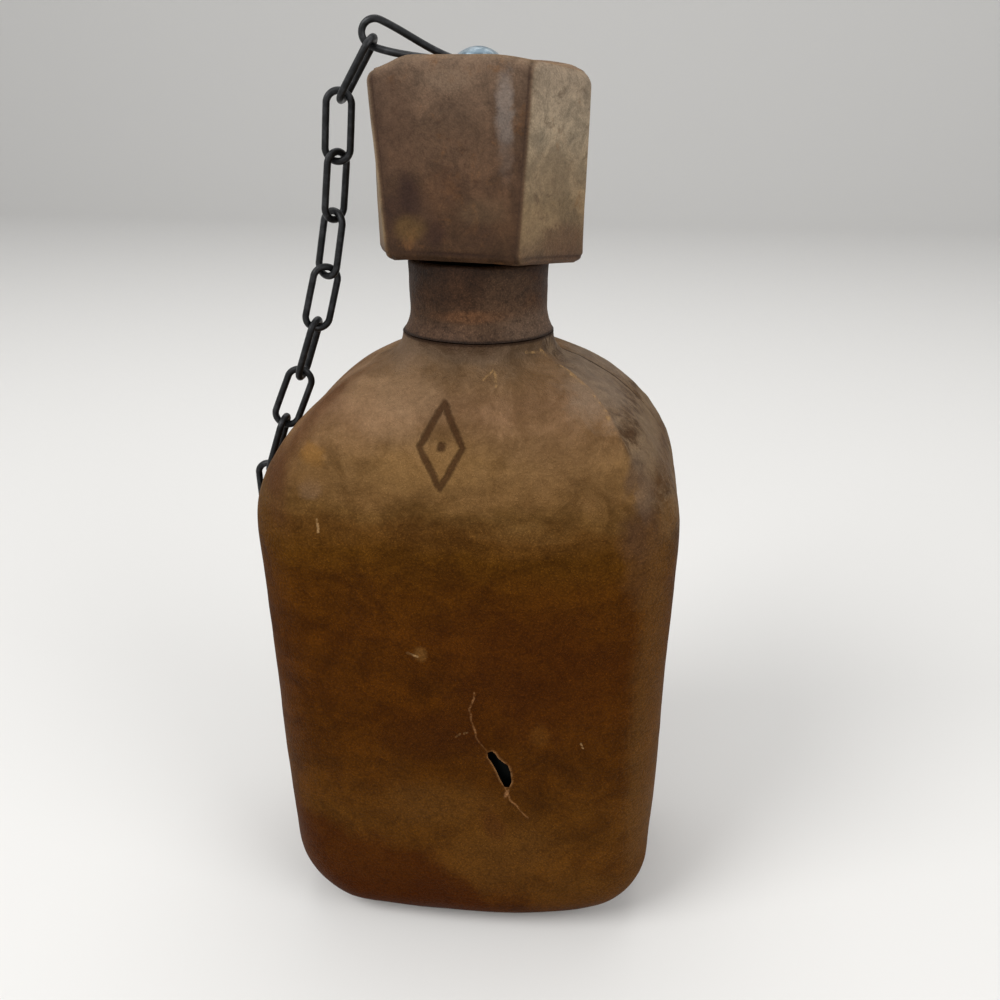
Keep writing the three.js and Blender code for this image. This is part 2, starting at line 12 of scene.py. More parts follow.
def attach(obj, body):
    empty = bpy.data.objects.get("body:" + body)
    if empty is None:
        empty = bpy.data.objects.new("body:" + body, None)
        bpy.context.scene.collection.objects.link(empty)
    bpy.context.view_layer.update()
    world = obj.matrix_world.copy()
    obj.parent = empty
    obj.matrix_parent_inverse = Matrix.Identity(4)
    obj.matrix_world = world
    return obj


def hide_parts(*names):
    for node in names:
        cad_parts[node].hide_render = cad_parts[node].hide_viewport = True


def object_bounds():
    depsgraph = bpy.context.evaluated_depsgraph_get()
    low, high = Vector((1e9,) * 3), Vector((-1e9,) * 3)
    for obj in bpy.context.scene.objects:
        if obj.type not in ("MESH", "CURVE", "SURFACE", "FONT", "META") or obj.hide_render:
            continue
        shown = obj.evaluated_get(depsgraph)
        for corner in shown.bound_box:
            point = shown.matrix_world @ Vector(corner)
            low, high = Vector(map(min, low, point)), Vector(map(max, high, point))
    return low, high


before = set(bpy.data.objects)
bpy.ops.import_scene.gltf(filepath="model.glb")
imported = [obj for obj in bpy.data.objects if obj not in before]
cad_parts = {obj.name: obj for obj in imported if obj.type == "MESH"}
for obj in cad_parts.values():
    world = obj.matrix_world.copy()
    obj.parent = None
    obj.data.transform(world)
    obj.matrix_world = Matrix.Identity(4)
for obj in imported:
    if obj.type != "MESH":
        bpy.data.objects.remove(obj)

FRAME_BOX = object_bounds()

bl_info = {
    "name": "Leather-wrapped decanter",
    "version": (1, 0, 0),
    "blender": (4, 5, 0),
    "location": "3D View > Sidebar > Decanter",
    "description": "Makes a leather-wrapped decanter with a chained block stopper",
    "category": "Object",
}

MM = 0.001

# Body outline, as the frame's leathers have it
BASE_HALF = 53.3 * MM
SHOULDER_HALF = 56.3 * MM
SHOULDER_HEIGHT = 125.5 * MM
ARCH_RISE = 45.5 * MM
CORNER_RADIUS = 24 * MM
BASE_DEPTH = 34 * MM
SHOULDER_DEPTH = 38 * MM
EDGE_RADIUS = 14.5 * MM
CROWN = 4.5 * MM
FRONT_SETBACK = 17 * MM
BACK_SETBACK = 7 * MM
SETBACK_DROP = 20.5 * MM
SEAM_Y = 10 * MM

# Collar and neck
COLLAR_TOP = 173.8 * MM
COLLAR_RADIUS = 20.3 * MM
COLLAR_FILLET = 8 * MM
NECK_INSIDE = 16.3 * MM
SLEEVE_WAIST = 18.4 * MM
SLEEVE_TOP = 193 * MM

# Stopper block
BLOCK_LOW = 194.4 * MM
BLOCK_HIGH = 240 * MM
BLOCK_TURN = math.radians(-10.4)
BLOCK_EDGE = 3 * MM
BLOCK_CORNER = 2 * MM
LEFT_DROOP = 3.2 * MM
RIGHT_DROOP = 3.9 * MM
BOTTOM_DROOP = 2.2 * MM
RIM_RISE = 1.8 * MM
HEAD_HEIGHT = 1.7 * MM

# Stopper leathers
WRAP_THICK = 1.8 * MM
PLATE_THICK = 2.2 * MM
PLATE_INSET = 2.1 * MM
SCREW_HOLE = 2.6 * MM
FACET_LOW = 34
FACET_HIGH = 41
TIP_HALF = 29
BLOCK_HALF_DEPTH = 22.8
BLOCK_TAPER = 0.8

# Heights of the leather's relief in millimetres: seam groove, lips of the tear and of its cracks
SEAM_GROOVE = 0.55
HOLE_LIP = 0.6
CRACK_LIP = 0.3
# Half of the gap between the front and the back leather
SEAM_GAP = 0.15 * MM

# Cutter for the tear: where it starts in front of the leather, and how deep it reaches
CUT_FROM = -52 * MM
CUT_DEPTH = 26 * MM

# Chain wire
WIRE_RADIUS = 0.95 * MM
BOW_RADIUS = 3.35 * MM
HALF_LEG = 5.3 * MM

# Tear in the front leather, across and up in millimetres
HOLE = ((7.4, 66.5), (8.5, 66.8), (9.4, 66.2), (10.3, 64.6), (11.6, 63.4), (13, 62.3), (13.7, 60), (14, 56.8),
        (13.3, 55), (12, 55.2), (10.9, 57.4), (9.7, 60.6), (8.4, 63.3), (7.5, 64.6))
CRACK_UP = ((3.9, 84.9), (4, 83.2), (2.5, 79.6), (3.4, 75), (4.1, 71.1), (5.5, 68.8), (7.3, 66.9))
CRACK_DOWN = ((12.2, 54.8), (13.6, 50.3), (16.2, 47.6), (18.5, 44.7))


def smooth_step(low, high, value):
    share = np.clip((value - low) / (high - low), 0, 1)
    return share * share * (3 - 2 * share)


# Shape helpers


def only(*objects):
    """Selects these objects alone."""
    bpy.ops.object.select_all(action="DESELECT")
    for each in objects:
        each.select_set(True)
    bpy.context.view_layer.objects.active = objects[0]


def apply(piece, kind, **settings):
    """Adds a modifier and applies it."""
    only(piece)
    modifier = piece.modifiers.new(kind.title(), kind)
    for name, value in settings.items():
        setattr(modifier, name, value)
    bpy.ops.object.modifier_apply(modifier=modifier.name)


def edit(piece, *steps):
    """Runs edit-mode steps on the whole mesh."""
    only(piece)
    bpy.ops.object.mode_set(mode="EDIT")
    bpy.ops.mesh.select_all(action="SELECT")
    for step in steps:
        step()
    bpy.ops.object.mode_set(mode="OBJECT")


def merge():
    bpy.ops.mesh.remove_doubles(threshold=0.00001)


def outwards():
    bpy.ops.mesh.normals_make_consistent(inside=False)


def points_of(piece):
    points = np.empty(len(piece.data.vertices) * 3)
    piece.data.vertices.foreach_get("co", points)
    return points.reshape(-1, 3)


def normals_of(piece):
    normals = np.empty(len(piece.data.vertices) * 3)
    piece.data.vertices.foreach_get("normal", normals)
    return normals.reshape(-1, 3)


def place_points(piece, points):
    piece.data.vertices.foreach_set("co", points.ravel())
    piece.data.update()


def store(piece, name, values):
    """Keeps one value a vertex for the piece's material."""
    layer = piece.data.attributes.new(name, "FLOAT", "POINT")
    layer.data.foreach_set("value", values)


def sheet_of(name, across, along, place):
    """A grid wrapped round: place(i, j) gives the point of each column and row."""
    bpy.ops.object.select_all(action="DESELECT")
    bpy.ops.mesh.primitive_grid_add(x_subdivisions=across, y_subdivisions=along, size=1)
    piece = bpy.context.object
    piece.name = piece.data.name = name
    points = np.empty((len(piece.data.vertices), 3))
    for index in range(len(points)):
        points[index] = place(index % (across + 1), index // (across + 1))
    place_points(piece, points)
    edit(piece, merge, outwards)
    return piece


def finish_piece(piece, body, node_name, material, angle=35):
    """Smooths, dresses and seats a finished piece on its body."""
    only(piece)
    bpy.ops.object.shade_smooth_by_angle(angle=math.radians(angle))
    piece.data.materials.clear()
    piece.data.materials.append(material)
    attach(piece, body)
    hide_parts(node_name)


def copy_of(node, name):
    """A piece of its own from a frame node, with its corners merged."""
    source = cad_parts[node]
    piece = bpy.data.objects.new(name, source.data.copy())
    piece.data.name = name
    bpy.context.scene.collection.objects.link(piece)
    edit(piece, merge)
    return piece


def twin_of(source, name):
    """A copy of a piece with a mesh of its own."""
    piece = source.copy()
    piece.data = source.data.copy()
    piece.name = piece.data.name = name
    bpy.context.scene.collection.objects.link(piece)
    return piece


def new_piece(name, points, edges, faces):
    mesh = bpy.data.meshes.new(name)
    mesh.from_pydata(points, edges, faces)
    piece = bpy.data.objects.new(name, mesh)
    bpy.context.scene.collection.objects.link(piece)
    return piece


def soften(piece, width):
    """Rounds the sharp edges of a piece."""
    apply(piece, "BEVEL", width=width, segments=3, limit_method="ANGLE", angle_limit=math.radians(40))


def rough(points, scale, octaves=3, seed=0.0):
    """Even noise at each point, from -1 to 1."""
    shift = Vector((seed, seed * 1.7, seed * 0.6))
    return np.array([noise.fractal(Vector(p) * scale + shift, 1.0, 2.0, octaves) for p in points])


def distance_to_line(flat, line):
    """Least distance from flat points to a broken line."""
    best = np.full(len(flat), 1e9)
    for start, end in zip(line, line[1:]):
        a, b = np.array(start), np.array(end)
        share = np.clip(((flat - a) @ (b - a)) / ((b - a) @ (b - a)), 0, 1)
        best = np.minimum(best, np.linalg.norm(flat - (a + share[:, None] * (b - a)), axis=1))
    return best


# Body shape


def side_half(z):
    share = min(max((z - CORNER_RADIUS) / (SHOULDER_HEIGHT - CORNER_RADIUS), 0), 1)
    return BASE_HALF + (SHOULDER_HALF - BASE_HALF) * math.sin(share * math.pi / 2)


def half_outline():
    points = [(0.0, 0.0, 0.0, -1.0)]
    for i in range(1, 12):
        points.append(((BASE_HALF - CORNER_RADIUS) * i / 12, 0.0, 0.0, -1.0))
    for i in range(15):
        angle = math.radians(-90 + 90 * i / 14)
        nx, nz = math.cos(angle), math.sin(angle)
        x = BASE_HALF - CORNER_RADIUS + CORNER_RADIUS * nx
        points.append((x, CORNER_RADIUS + CORNER_RADIUS * nz, nx, nz))
    rise = SHOULDER_HEIGHT - CORNER_RADIUS
    for i in range(1, 31):
        z = CORNER_RADIUS + rise * i / 30
        lean = (SHOULDER_HALF - BASE_HALF) * math.pi / 2 / rise * math.cos(i / 30 * math.pi / 2)
        long = math.hypot(1, lean)
        points.append((side_half(z), z, 1 / long, -lean / long))
    for i in range(1, 41):
        angle = math.radians(90 * i / 40)
        nx, nz = math.cos(angle) / SHOULDER_HALF, math.sin(angle) / ARCH_RISE
        long = math.hypot(nx, nz)
        x, z = SHOULDER_HALF * math.cos(angle), SHOULDER_HEIGHT + ARCH_RISE * math.sin(angle)
        points.append((x, z, nx / long, nz / long))
    return points


def setback(z, side):
    share = min(max((z - SHOULDER_HEIGHT + SETBACK_DROP) / (ARCH_RISE + SETBACK_DROP), 0), 1)
    return (FRONT_SETBACK if side < 0 else BACK_SETBACK) * share ** 3


def depth_at(z):
    return BASE_DEPTH + (SHOULDER_DEPTH - BASE_DEPTH) * min(max(z / SHOULDER_HEIGHT, 0), 1)


def crown_at(x):
    return CROWN * (1 - min(abs(x) / SHOULDER_HALF, 1) ** 2)


def body_form():
    """The body without its collar: the arched outline swept over a rounded depth."""
    right = half_outline()
    left = [(-x, z, -nx, nz) for x, z, nx, nz in reversed(right[1:-1])]
    outline = right + left
    count = len(outline)
    middle_z = sum(p[1] for p in outline) / count
    edge_steps, face_steps, side_steps = 9, 14, 8

    def rim(side, angle, point):
        x, z, nx, nz = point
        in_by = EDGE_RADIUS * (1 - math.cos(angle))
        px, pz = x - nx * in_by, z - nz * in_by
        flat = depth_at(z) - EDGE_RADIUS - setback(pz, side)
        return px, side * (flat + (EDGE_RADIUS + crown_at(px)) * math.sin(angle)), pz

    def face(side, share, point):
        x, _, z = rim(side, math.pi / 2, point)
        x, z = x * share, middle_z + (z - middle_z) * share
        return x, side * (depth_at(z) + crown_at(x) - setback(z, side)), z

    rows = []
    for side in (-1, 1):
        half = [("face", side, i / face_steps) for i in range(face_steps)]
        half += [("rim", side, math.pi / 2 * (1 - i / edge_steps)) for i in range(edge_steps + 1)]
        rows.append(half)
    between = [("side", 0, i / side_steps) for i in range(1, side_steps)]
    order = rows[0] + between + rows[1][::-1]

    def place(i, j):
        point = outline[i % count]
        kind, side, value = order[j]
        if kind == "face":
            return face(side, value, point)
        if kind == "rim":
            return rim(side, value, point)
        low, high = rim(-1, 0, point), rim(1, 0, point)
        return low[0], low[1] + (high[1] - low[1]) * value, low[2]

    return sheet_of("body_form", count, len(order) - 1, place)


def collar_form():
    """The collar that lifts the arch to the neck, spun from its profile."""
    root = COLLAR_RADIUS + COLLAR_FILLET
    foot = COLLAR_TOP - COLLAR_FILLET
    profile = [(0, COLLAR_TOP + 2 * MM), (COLLAR_RADIUS, COLLAR_TOP + 2 * MM)]
    for i in range(9):
        angle = math.radians(180 + 90 * i / 8)
        profile.append((root + COLLAR_FILLET * math.cos(angle), COLLAR_TOP + COLLAR_FILLET * math.sin(angle)))
    profile += [(root + COLLAR_FILLET / 2, foot - COLLAR_FILLET), (0, foot - COLLAR_FILLET)]
    return spun("collar_form", profile, 96)


def spun(name, profile, steps):
    """A closed or pole-ended profile of radius and height, spun about Z."""
    piece = new_piece(name, [(r, 0, z) for r, z in profile], [(i, i + 1) for i in range(len(profile) - 1)], [])
    edit(piece, lambda: bpy.ops.mesh.spin(steps=steps, angle=2 * math.pi, center=(0, 0, 0), axis=(0, 0, 1)),
         merge, outwards)
    return piece


def body_skin(voxel):
    """Body and collar melted into one closed leather surface."""
    body, collar = body_form(), collar_form()
    only(body, collar)
    bpy.ops.object.join()
    apply(body, "REMESH", mode="VOXEL", voxel_size=voxel)
    apply(body, "SMOOTH", factor=0.5, iterations=5)
    return body


# Creases of the shoulder: across, back and up in millimetres
RIGHT_CREASE = ((17.5, -10.8, 170.9), (22.8, -10.9, 167), (31.1, -19.2, 162.8), (35.2, -24.7, 158.7),
                (38, -28, 154), (41.4, -32.5, 148.5), (46.5, -33.5, 140), (48.5, -34.5, 133))
LEFT_CREASE = ((-24, -7, 166.5), (-32.5, -13, 162), (-38, -20, 156.5), (-43.5, -27, 148), (-47, -30, 140))


def along_path(points, path):
    """Least distance to a path in space, in millimetres, and the share of the way along it."""
    best, where = np.full(len(points), 1e9), np.zeros(len(points))
    line = np.array(path, float)
    for i, (a, b) in enumerate(zip(line, line[1:])):
        share = np.clip(((points - a) @ (b - a)) / ((b - a) @ (b - a)), 0, 1)
        far = np.linalg.norm(points - (a + share[:, None] * (b - a)), axis=1)
        nearer = far < best
        best[nearer], where[nearer] = far[nearer], (i + share[nearer]) / (len(line) - 1)
    return best, where


def hill(value, centre, width):
    return np.exp(-(((value - centre) / width) ** 2))


def shape_leather(mm):
    """The body's unevenness: a fuller left shoulder, a drawn-in right flank and a worn lower corner."""
    x, y, z = mm[:, 0].copy(), mm[:, 1].copy(), mm[:, 2].copy()
    mm[:, 0] -= 1.3 * hill(z, 130, 17) * smooth_step(24, 52, -x)
    mm[:, 0] -= 0.9 * hill(z, 85, 30) * smooth_step(28, 54, x)
    corner = hill(x, 34, 13) * smooth_step(34, 8, z) * smooth_step(5, -20, y)
    mm[:, 1] += 1.2 * corner
    mm[:, 2] += 1.2 * corner
    return mm


def work_leather(piece):
    """Leather pulled over the glass: unevenness, creases and the rolled edges of the seam."""
    points, normals = points_of(piece), normals_of(piece)
    mm = points * 1000
    lift = 0.28 * rough(points, 22, 3, 4.0) + 0.1 * rough(points, 95, 2, 9.0)
    crease = np.array(RIGHT_CREASE)
    past = mm[:, 0] - np.interp(-mm[:, 2], -crease[:, 2], crease[:, 0])
    soft = 2.5 * smooth_step(153, 142, mm[:, 2])
    flank = smooth_step(-0.3 - soft, 1.2 + soft, past) * smooth_step(12, 17, mm[:, 0])
    flank *= smooth_step(122, 143, mm[:, 2])
    for path, height in ((RIGHT_CREASE, 0.75), (LEFT_CREASE, 0.5)):
        far, way = along_path(mm, path)
        if path is LEFT_CREASE:
            # Band along the left crease, where shade is painted over the left shoulder's edge.
            store(piece, "left crease shade", hill(far, 0, 5.5) * smooth_step(-22, -34, mm[:, 0]))
        fade = np.sin(np.clip(way, 0.02, 0.98) * math.pi) ** 0.6
        beyond = flank if path is RIGHT_CREASE else 0.6
        lift += fade * height * (hill(far, 0, 1.7) - 0.9 * beyond * hill(far, 3.6, 2.4))
    folded = points * np.array([0.75, 1.15, 0.75])
    folds = rough(folded, 260, 3, 1.5)
    lift += 0.13 * folds * flank
    lift += 0.06 * folds * smooth_step(118, 150, mm[:, 2]) * smooth_step(34, 46, np.abs(mm[:, 0]))
    lift -= SEAM_GROOVE * hill(np.abs(mm[:, 1] - SEAM_Y * 1000), 0, 1.1)
    top = np.clip((COLLAR_TOP * 1000 - mm[:, 2]) / 1.2, 0, 1)
    lift += 0.25 * (1 - top) ** 2
    moved = shape_leather(mm + normals * lift[:, None]) * MM
    moved[:, 2] = np.maximum(moved[:, 2], 0)
    depth = min(FRAME_BOX[1][1] / moved[:, 1].max(), FRAME_BOX[0][1] / moved[:, 1].min())
    moved[:, 1] *= min(1, depth)
    place_points(piece, moved)
    store(piece, "flank", flank)


def cut_leather(piece, front):
    """Keeps one side of the seam and opens the collar."""
    seam = SEAM_Y + (-SEAM_GAP if front else SEAM_GAP)
    for place, normal in (((0, seam, 0), (0, 1 if front else -1, 0)), ((0, 0, COLLAR_TOP), (0, 0, 1))):
        edit(piece, lambda: bpy.ops.mesh.bisect(plane_co=place, plane_no=normal, clear_outer=True))


def prism(name, outline):
    """A cutter through the front leather from a closed outline."""
    piece = new_piece(name, [(x * MM, CUT_FROM, z * MM) for x, z in outline], [], [list(range(len(outline)))])
    edit(piece, lambda: bpy.ops.mesh.extrude_region_move(TRANSFORM_OT_translate={"value": (0, CUT_DEPTH, 0)}),
         outwards)
    return piece


def tear_leather(piece):
    """Cuts the torn hole, and lifts its rim and the two cracks that run from it."""
    only(piece)
    bpy.ops.object.mode_set(mode="EDIT")
    bpy.ops.mesh.select_all(action="DESELECT")
    mesh = bmesh.from_edit_mesh(piece.data)
    near = [f for f in mesh.faces if f.normal.y < -0.5
            and abs(f.calc_center_median().x - 9 * MM) < 15 * MM
            and abs(f.calc_center_median().z - 66 * MM) < 23 * MM]
    for face in near:
        face.select = True
    bmesh.update_edit_mesh(piece.data)
    bpy.ops.mesh.subdivide(number_cuts=2, smoothness=0)
    bpy.ops.object.mode_set(mode="OBJECT")
    points = points_of(piece)
    flat = points[:, (0, 2)] * 1000
    hole = distance_to_line(flat, HOLE + HOLE[:1])
    cracks = distance_to_line(flat, CRACK_UP + HOLE[:1])
    cracks = np.minimum(cracks, distance_to_line(flat, CRACK_DOWN))
    front = points[:, 1] < 0
    lift = HOLE_LIP * hill(hole, 0, 1.5) + CRACK_LIP * hill(cracks, 0, 0.7)
    lift = np.where(front, lift, 0)
    place_points(piece, points + normals_of(piece) * (lift * MM)[:, None])
    cutter = prism("hole_cutter", HOLE)
    apply(piece, "BOOLEAN", operation="DIFFERENCE", solver="FAST", object=cutter)
    bpy.data.objects.remove(cutter)


# Materials


def linear(red, green, blue, alpha=1.0):
    """A colour given in display values from 0 to 255."""
    return tuple(c / 12.92 if c <= 0.04045 else ((c + 0.055) / 1.055) ** 2.4
                 for c in (red / 255, green / 255, blue / 255)) + (alpha,)


class Nodes:
    """Short calls for building a node tree."""

    def __init__(self, tree):
        self.tree = tree

    def add(self, kind, inputs=None, **settings):
        node = self.tree.nodes.new(kind)
        for name, value in settings.items():
            setattr(node, name, value)
        for name, value in (inputs or {}).items():
            self.set(node.inputs[name], value)
        return node

    def set(self, socket, value):
        if isinstance(value, bpy.types.NodeSocket):
            self.tree.links.new(value, socket)
        else:
            socket.default_value = value

    def math(self, operation, *values, clamp=False):
        node = self.add("ShaderNodeMath", operation=operation, use_clamp=clamp)
        for socket, value in zip(node.inputs, values):
            self.set(socket, value)
        return node.outputs[0]

    def times(self, *values, **settings):
        return self.math("MULTIPLY", *values, **settings)

    def plus(self, *values):
        return self.math("ADD", *values)

    def minus(self, *values):
        return self.math("SUBTRACT", *values)

    def over(self, *values, **settings):
        return self.math("DIVIDE", *values, **settings)

    def swing(self, value, amount):
        """A noise value turned into a change to both sides of nothing."""
        return self.times(self.minus(value, 0.5), amount)

    def place(self):
        return self.add("ShaderNodeTexCoord").outputs["Object"]

    def parts(self, vector):
        return self.add("ShaderNodeSeparateXYZ", {"Vector": vector}).outputs

    def stored(self, name):
        """The value that store() kept under this name."""
        return self.add("ShaderNodeAttribute", attribute_name=name).outputs["Fac"]

    def bump(self, shader, height, strength, distance):
        node = self.add("ShaderNodeBump", {"Height": height, "Strength": strength, "Distance": distance})
        self.set(shader.inputs["Normal"], node.outputs[0])

    def vector(self, operation, *values):
        node = self.add("ShaderNodeVectorMath", operation=operation)
        for socket, value in zip(node.inputs, values):
            self.set(socket, value)
        return node.outputs["Value" if operation in ("LENGTH", "DOT_PRODUCT", "DISTANCE") else "Vector"]

    def noise(self, vector, scale, detail=3.0, rough=0.55, distortion=0.0):
        return self.add("ShaderNodeTexNoise", {"Vector": vector, "Scale": scale, "Detail": detail,
                                               "Roughness": rough, "Distortion": distortion}).outputs["Fac"]

    def scaled(self, vector, factor):
        node = self.add("ShaderNodeVectorMath", operation="SCALE")
        self.set(node.inputs[0], vector)
        self.set(node.inputs["Scale"], factor)
        return node.outputs[0]

    def tones(self, value, stops, plain=False):
        """A colour from a table of millimetres and display colours, or plain shares."""
        low, high = stops[0][0], stops[-1][0]
        node = self.add("ShaderNodeValToRGB")
        self.set(node.inputs[0], self.over(self.minus(value, low * MM), (high - low) * MM))
        points = node.color_ramp.elements
        while len(points) < len(stops):
            points.new(0.5)
        for point, (at, _) in zip(points, stops):
            point.position = (at - low) / (high - low)
        for point, (_, tint) in zip(points, stops):
            point.color = (*tint, 1) if plain else linear(*tint)
        return node.outputs[0]

    def curve(self, value, stops):
        """A height from a table of places and heights, in metres."""
        tall = max(height for _, height in stops)
        grey = [(at, (height / tall,) * 3) for at, height in stops]
        node = self.tones(value, grey, plain=True)
        return self.times(node, tall * MM)

    def ramp(self, value, low, high, out_low=0.0, out_high=1.0):
        return self.add("ShaderNodeMapRange", {"Value": value, "From Min": low, "From Max": high,
                                               "To Min": out_low, "To Max": out_high},
                        interpolation_type="SMOOTHSTEP").outputs["Result"]

    def mix(self, share, first, second, blend="MIX"):
        node = self.add("ShaderNodeMix", data_type="RGBA", blend_type=blend)
        self.set(node.inputs[0], share)
        self.set(node.inputs[6], first)
        self.set(node.inputs[7], second)
        return node.outputs[2]

    def group(self, tree, **inputs):
        node = self.add("ShaderNodeGroup", node_tree=tree)
        for name, value in inputs.items():
            self.set(node.inputs[name.replace("_", " ")], value)
        return node


def new_group(name, inputs, outputs):
    """A shader group with named sockets, and its inputs and outputs nodes."""
    tree = bpy.data.node_groups.new(name, "ShaderNodeTree")
    for label, kind, value in inputs:
        socket = tree.interface.new_socket(label, in_out="INPUT", socket_type="NodeSocket" + kind)
        if value is not None:
            socket.default_value = value
    for label, kind in outputs:
        tree.interface.new_socket(label, in_out="OUTPUT", socket_type="NodeSocket" + kind)
    nodes = Nodes(tree)
    return nodes, nodes.add("NodeGroupInput").outputs, nodes.add("NodeGroupOutput").inputs


def grain_group():
    """Pebbled leather grain with pores and soft wrinkles."""
    nodes, given, out = new_group("leather grain", [
        ("Vector", "Vector", None), ("Pebble", "Float", 1400.0), ("Wrinkle", "Float", 0.35)],
        [("Height", "Float"), ("Pores", "Float"), ("Specks", "Float")])
    shake = nodes.add("ShaderNodeTexNoise", {"Vector": given["Vector"], "Scale": 260.0}).outputs["Color"]
    bent = nodes.vector("ADD", given["Vector"], nodes.scaled(shake, 0.0012))
    cells = nodes.add("ShaderNodeTexVoronoi", {"Vector": bent, "Scale": given["Pebble"], "Smoothness": 0.35},
                      feature="SMOOTH_F1").outputs["Distance"]
    pebble = nodes.ramp(cells, 0.1, 0.75, 1.0, 0.0)
    fine = nodes.noise(given["Vector"], 3200.0, 2.0)
    wrinkle = nodes.noise(given["Vector"], 150.0, 4.0, 0.6, 0.6)
    height = nodes.plus(nodes.times(pebble, 0.55), nodes.times(fine, 0.2))
    folded = nodes.times(wrinkle, given["Wrinkle"])
    nodes.set(out["Height"], nodes.plus(height, folded))
    nodes.set(out["Pores"], nodes.ramp(cells, 0.45, 0.8))
    bright = nodes.times(nodes.ramp(cells, 0.42, 0.12), nodes.ramp(fine, 0.42, 0.62))
    nodes.set(out["Specks"], bright)
    return nodes.tree


def patch_group():
    """A soft-edged oval patch round a centre, broken up by noise."""
    nodes, given, out = new_group("soft patch", [
        ("Vector", "Vector", None), ("Centre", "Vector", (0, 0, 0)), ("Turn", "Float", 0.0),
        ("Width", "Float", 0.02), ("Height", "Float", 0.02), ("Break up", "Float", 0.0)],
        [("Mask", "Float")])
    placed = nodes.vector("SUBTRACT", given["Vector"], given["Centre"])
    turned = nodes.add("ShaderNodeVectorRotate", {"Vector": placed, "Angle": given["Turn"]}, rotation_type="Y_AXIS")
    parts = nodes.add("ShaderNodeSeparateXYZ", {"Vector": turned.outputs["Vector"]}).outputs
    across = nodes.over(parts["X"], given["Width"])
    up = nodes.over(parts["Z"], given["Height"])
    far = nodes.math("SQRT", nodes.plus(nodes.times(across, across),
                                        nodes.times(up, up)))
    far = nodes.plus(far, given["Break up"])
    nodes.set(out["Mask"], nodes.ramp(far, 0.5, 1.5, 1.0, 0.0))
    return nodes.tree


def line_group():
    """A thin mark between two points, seen along Y where Axes leaves Y out."""
    nodes, given, out = new_group("line mark", [
        ("Vector", "Vector", None), ("From", "Vector", (0, 0, 0)), ("To", "Vector", (0, 0, 0)),
        ("Width", "Float", 0.0004), ("Axes", "Vector", (1, 0, 1))], [("Mask", "Float")])
    start = nodes.vector("MULTIPLY", given["From"], given["Axes"])
    run = nodes.vector("SUBTRACT", nodes.vector("MULTIPLY", given["To"], given["Axes"]), start)
    reach = nodes.vector("SUBTRACT", nodes.vector("MULTIPLY", given["Vector"], given["Axes"]), start)
    share = nodes.over(nodes.vector("DOT_PRODUCT", reach, run),
                       nodes.vector("DOT_PRODUCT", run, run), clamp=True)
    far = nodes.vector("LENGTH", nodes.vector("SUBTRACT", reach, nodes.scaled(run, share)))
    nodes.set(out["Mask"], nodes.ramp(far, nodes.times(given["Width"], 0.3), given["Width"], 1.0, 0.0))
    return nodes.tree


def start_material(name):
    material = bpy.data.materials.new(name)
    material.use_nodes = True
    nodes = Nodes(material.node_tree)
    shader = material.node_tree.nodes["Principled BSDF"]
    return material, nodes, shader


